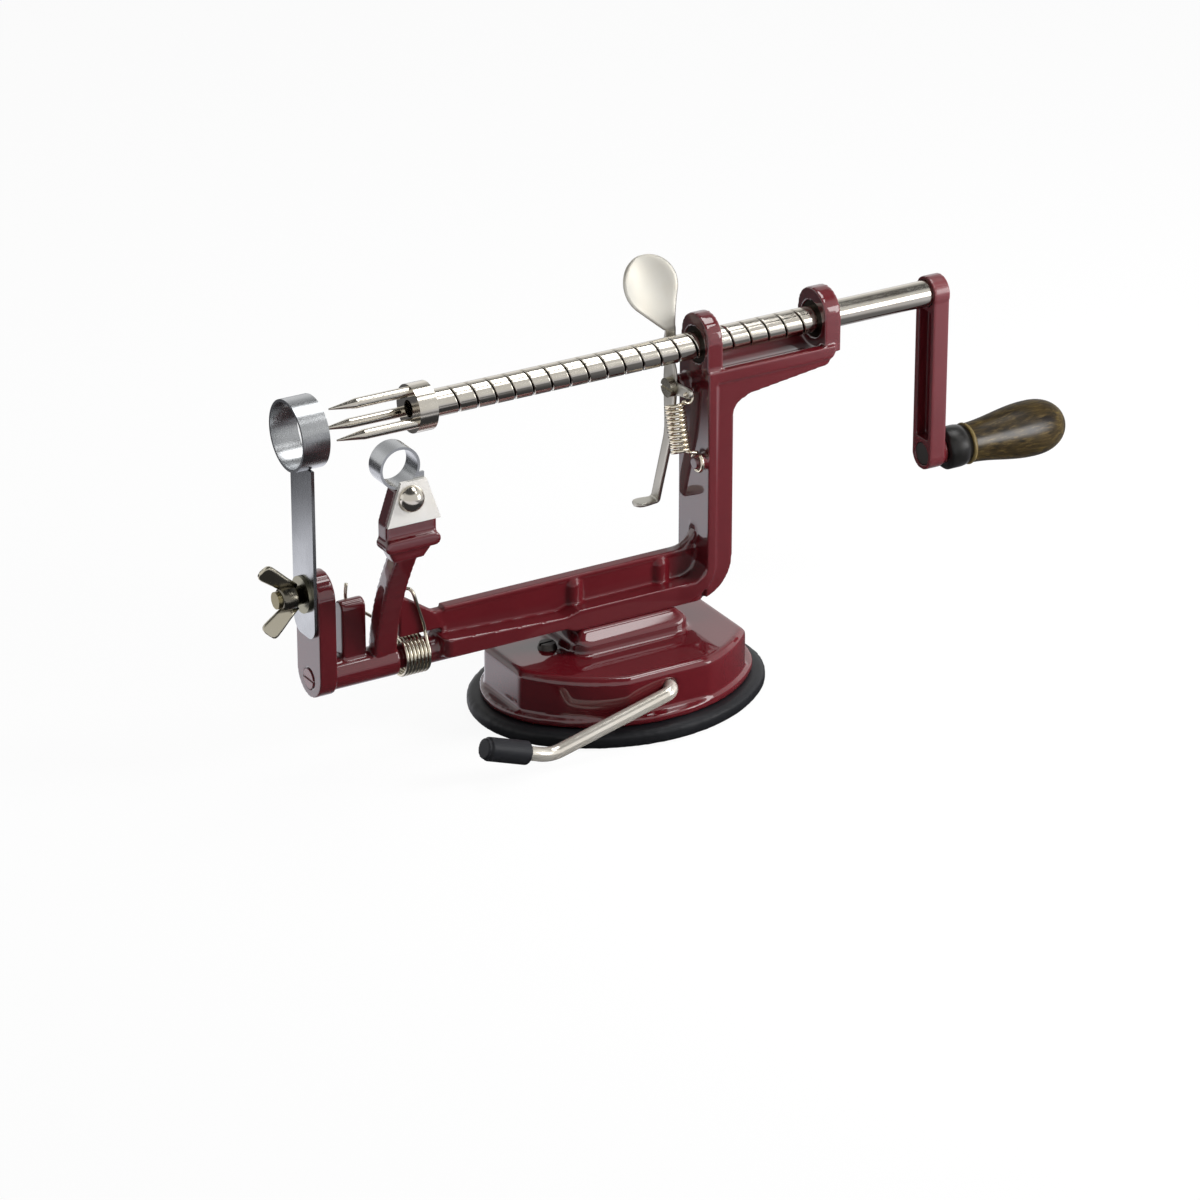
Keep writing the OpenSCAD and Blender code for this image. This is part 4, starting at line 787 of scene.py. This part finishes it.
def softbox(name, place, aim, size, power, mirrored):
    """Rectangular lamp; only a mirrored one shows in shiny things."""
    lamp = bpy.data.lights.new(name, "AREA")
    lamp.shape = "RECTANGLE"
    lamp.size, lamp.size_y = size
    lamp.energy = power
    obj = bpy.data.objects.new(name, lamp)
    obj.location = place
    obj.rotation_euler = (Vector(aim) - Vector(place)).to_track_quat("-Z", "Y").to_euler()
    obj.visible_glossy = mirrored
    bpy.context.scene.collection.objects.link(obj)
    return obj


softbox("right light", (0.42, -0.30, 0.30), (0, 0, 0.07), (0.22, 0.22), 3.8, False)
softbox("top light", (0.0, 0.1, 0.8), (0, 0, 0.05), (0.6, 0.6), 1.2, False)
softbox("front window", (0.80, -0.75, 0.34), (0.10, 0, 0.1), (0.5, 0.5), 3.4, True)
softbox("slope panel", (0.56, -0.58, 1.1), (0.56, -0.58, 0), (0.2, 0.35), 1.1, True)
softbox("ceiling panel", (0.39, 0.05, 1.1), (0.39, 0.05, 0), (0.4, 0.6), 3.8, True)
glint = softbox("grip glint", (0.36, -0.64, 0.26), (0.165, 0, 0.055), (0.4, 0.4), 11.5, True)
glint.visible_diffuse = False
glint.light_linking.receiver_collection = bpy.data.collections.new("varnished")
glint.light_linking.receiver_collection.objects.link(bpy.data.objects["turned_grip"])

# Camera
# A long lens at the place of the photograph's camera, which follows from the scale, the
# tilt and swing of the view, and the pixel at which the frame's origin shows.

photo_px = 1200
focal_px = 5515
pixels_per_m = 2850
tilt = math.radians(24.8)
swing = math.radians(30.4)
origin_px = (616.5, 692.0)
right = Vector((math.cos(swing), -math.sin(swing), 0))
forward = Vector((math.sin(swing) * math.cos(tilt), math.cos(swing) * math.cos(tilt), -math.sin(tilt)))
up = right.cross(forward)
distance = focal_px / pixels_per_m
eye = (-distance * forward - right * (origin_px[0] - photo_px / 2) / pixels_per_m
       + up * (origin_px[1] - photo_px / 2) / pixels_per_m)
lens = bpy.data.cameras.new("camera")
lens.sensor_width = 36
lens.lens = lens.sensor_width * focal_px / photo_px
lens.clip_end = 20
camera = bpy.data.objects.new("camera", lens)
camera.matrix_world = Matrix.Translation(eye) @ Matrix((right, up, -forward)).transposed().to_4x4()
bpy.context.scene.collection.objects.link(camera)
bpy.context.scene.camera = camera
bpy.context.scene.view_settings.view_transform = "Standard"
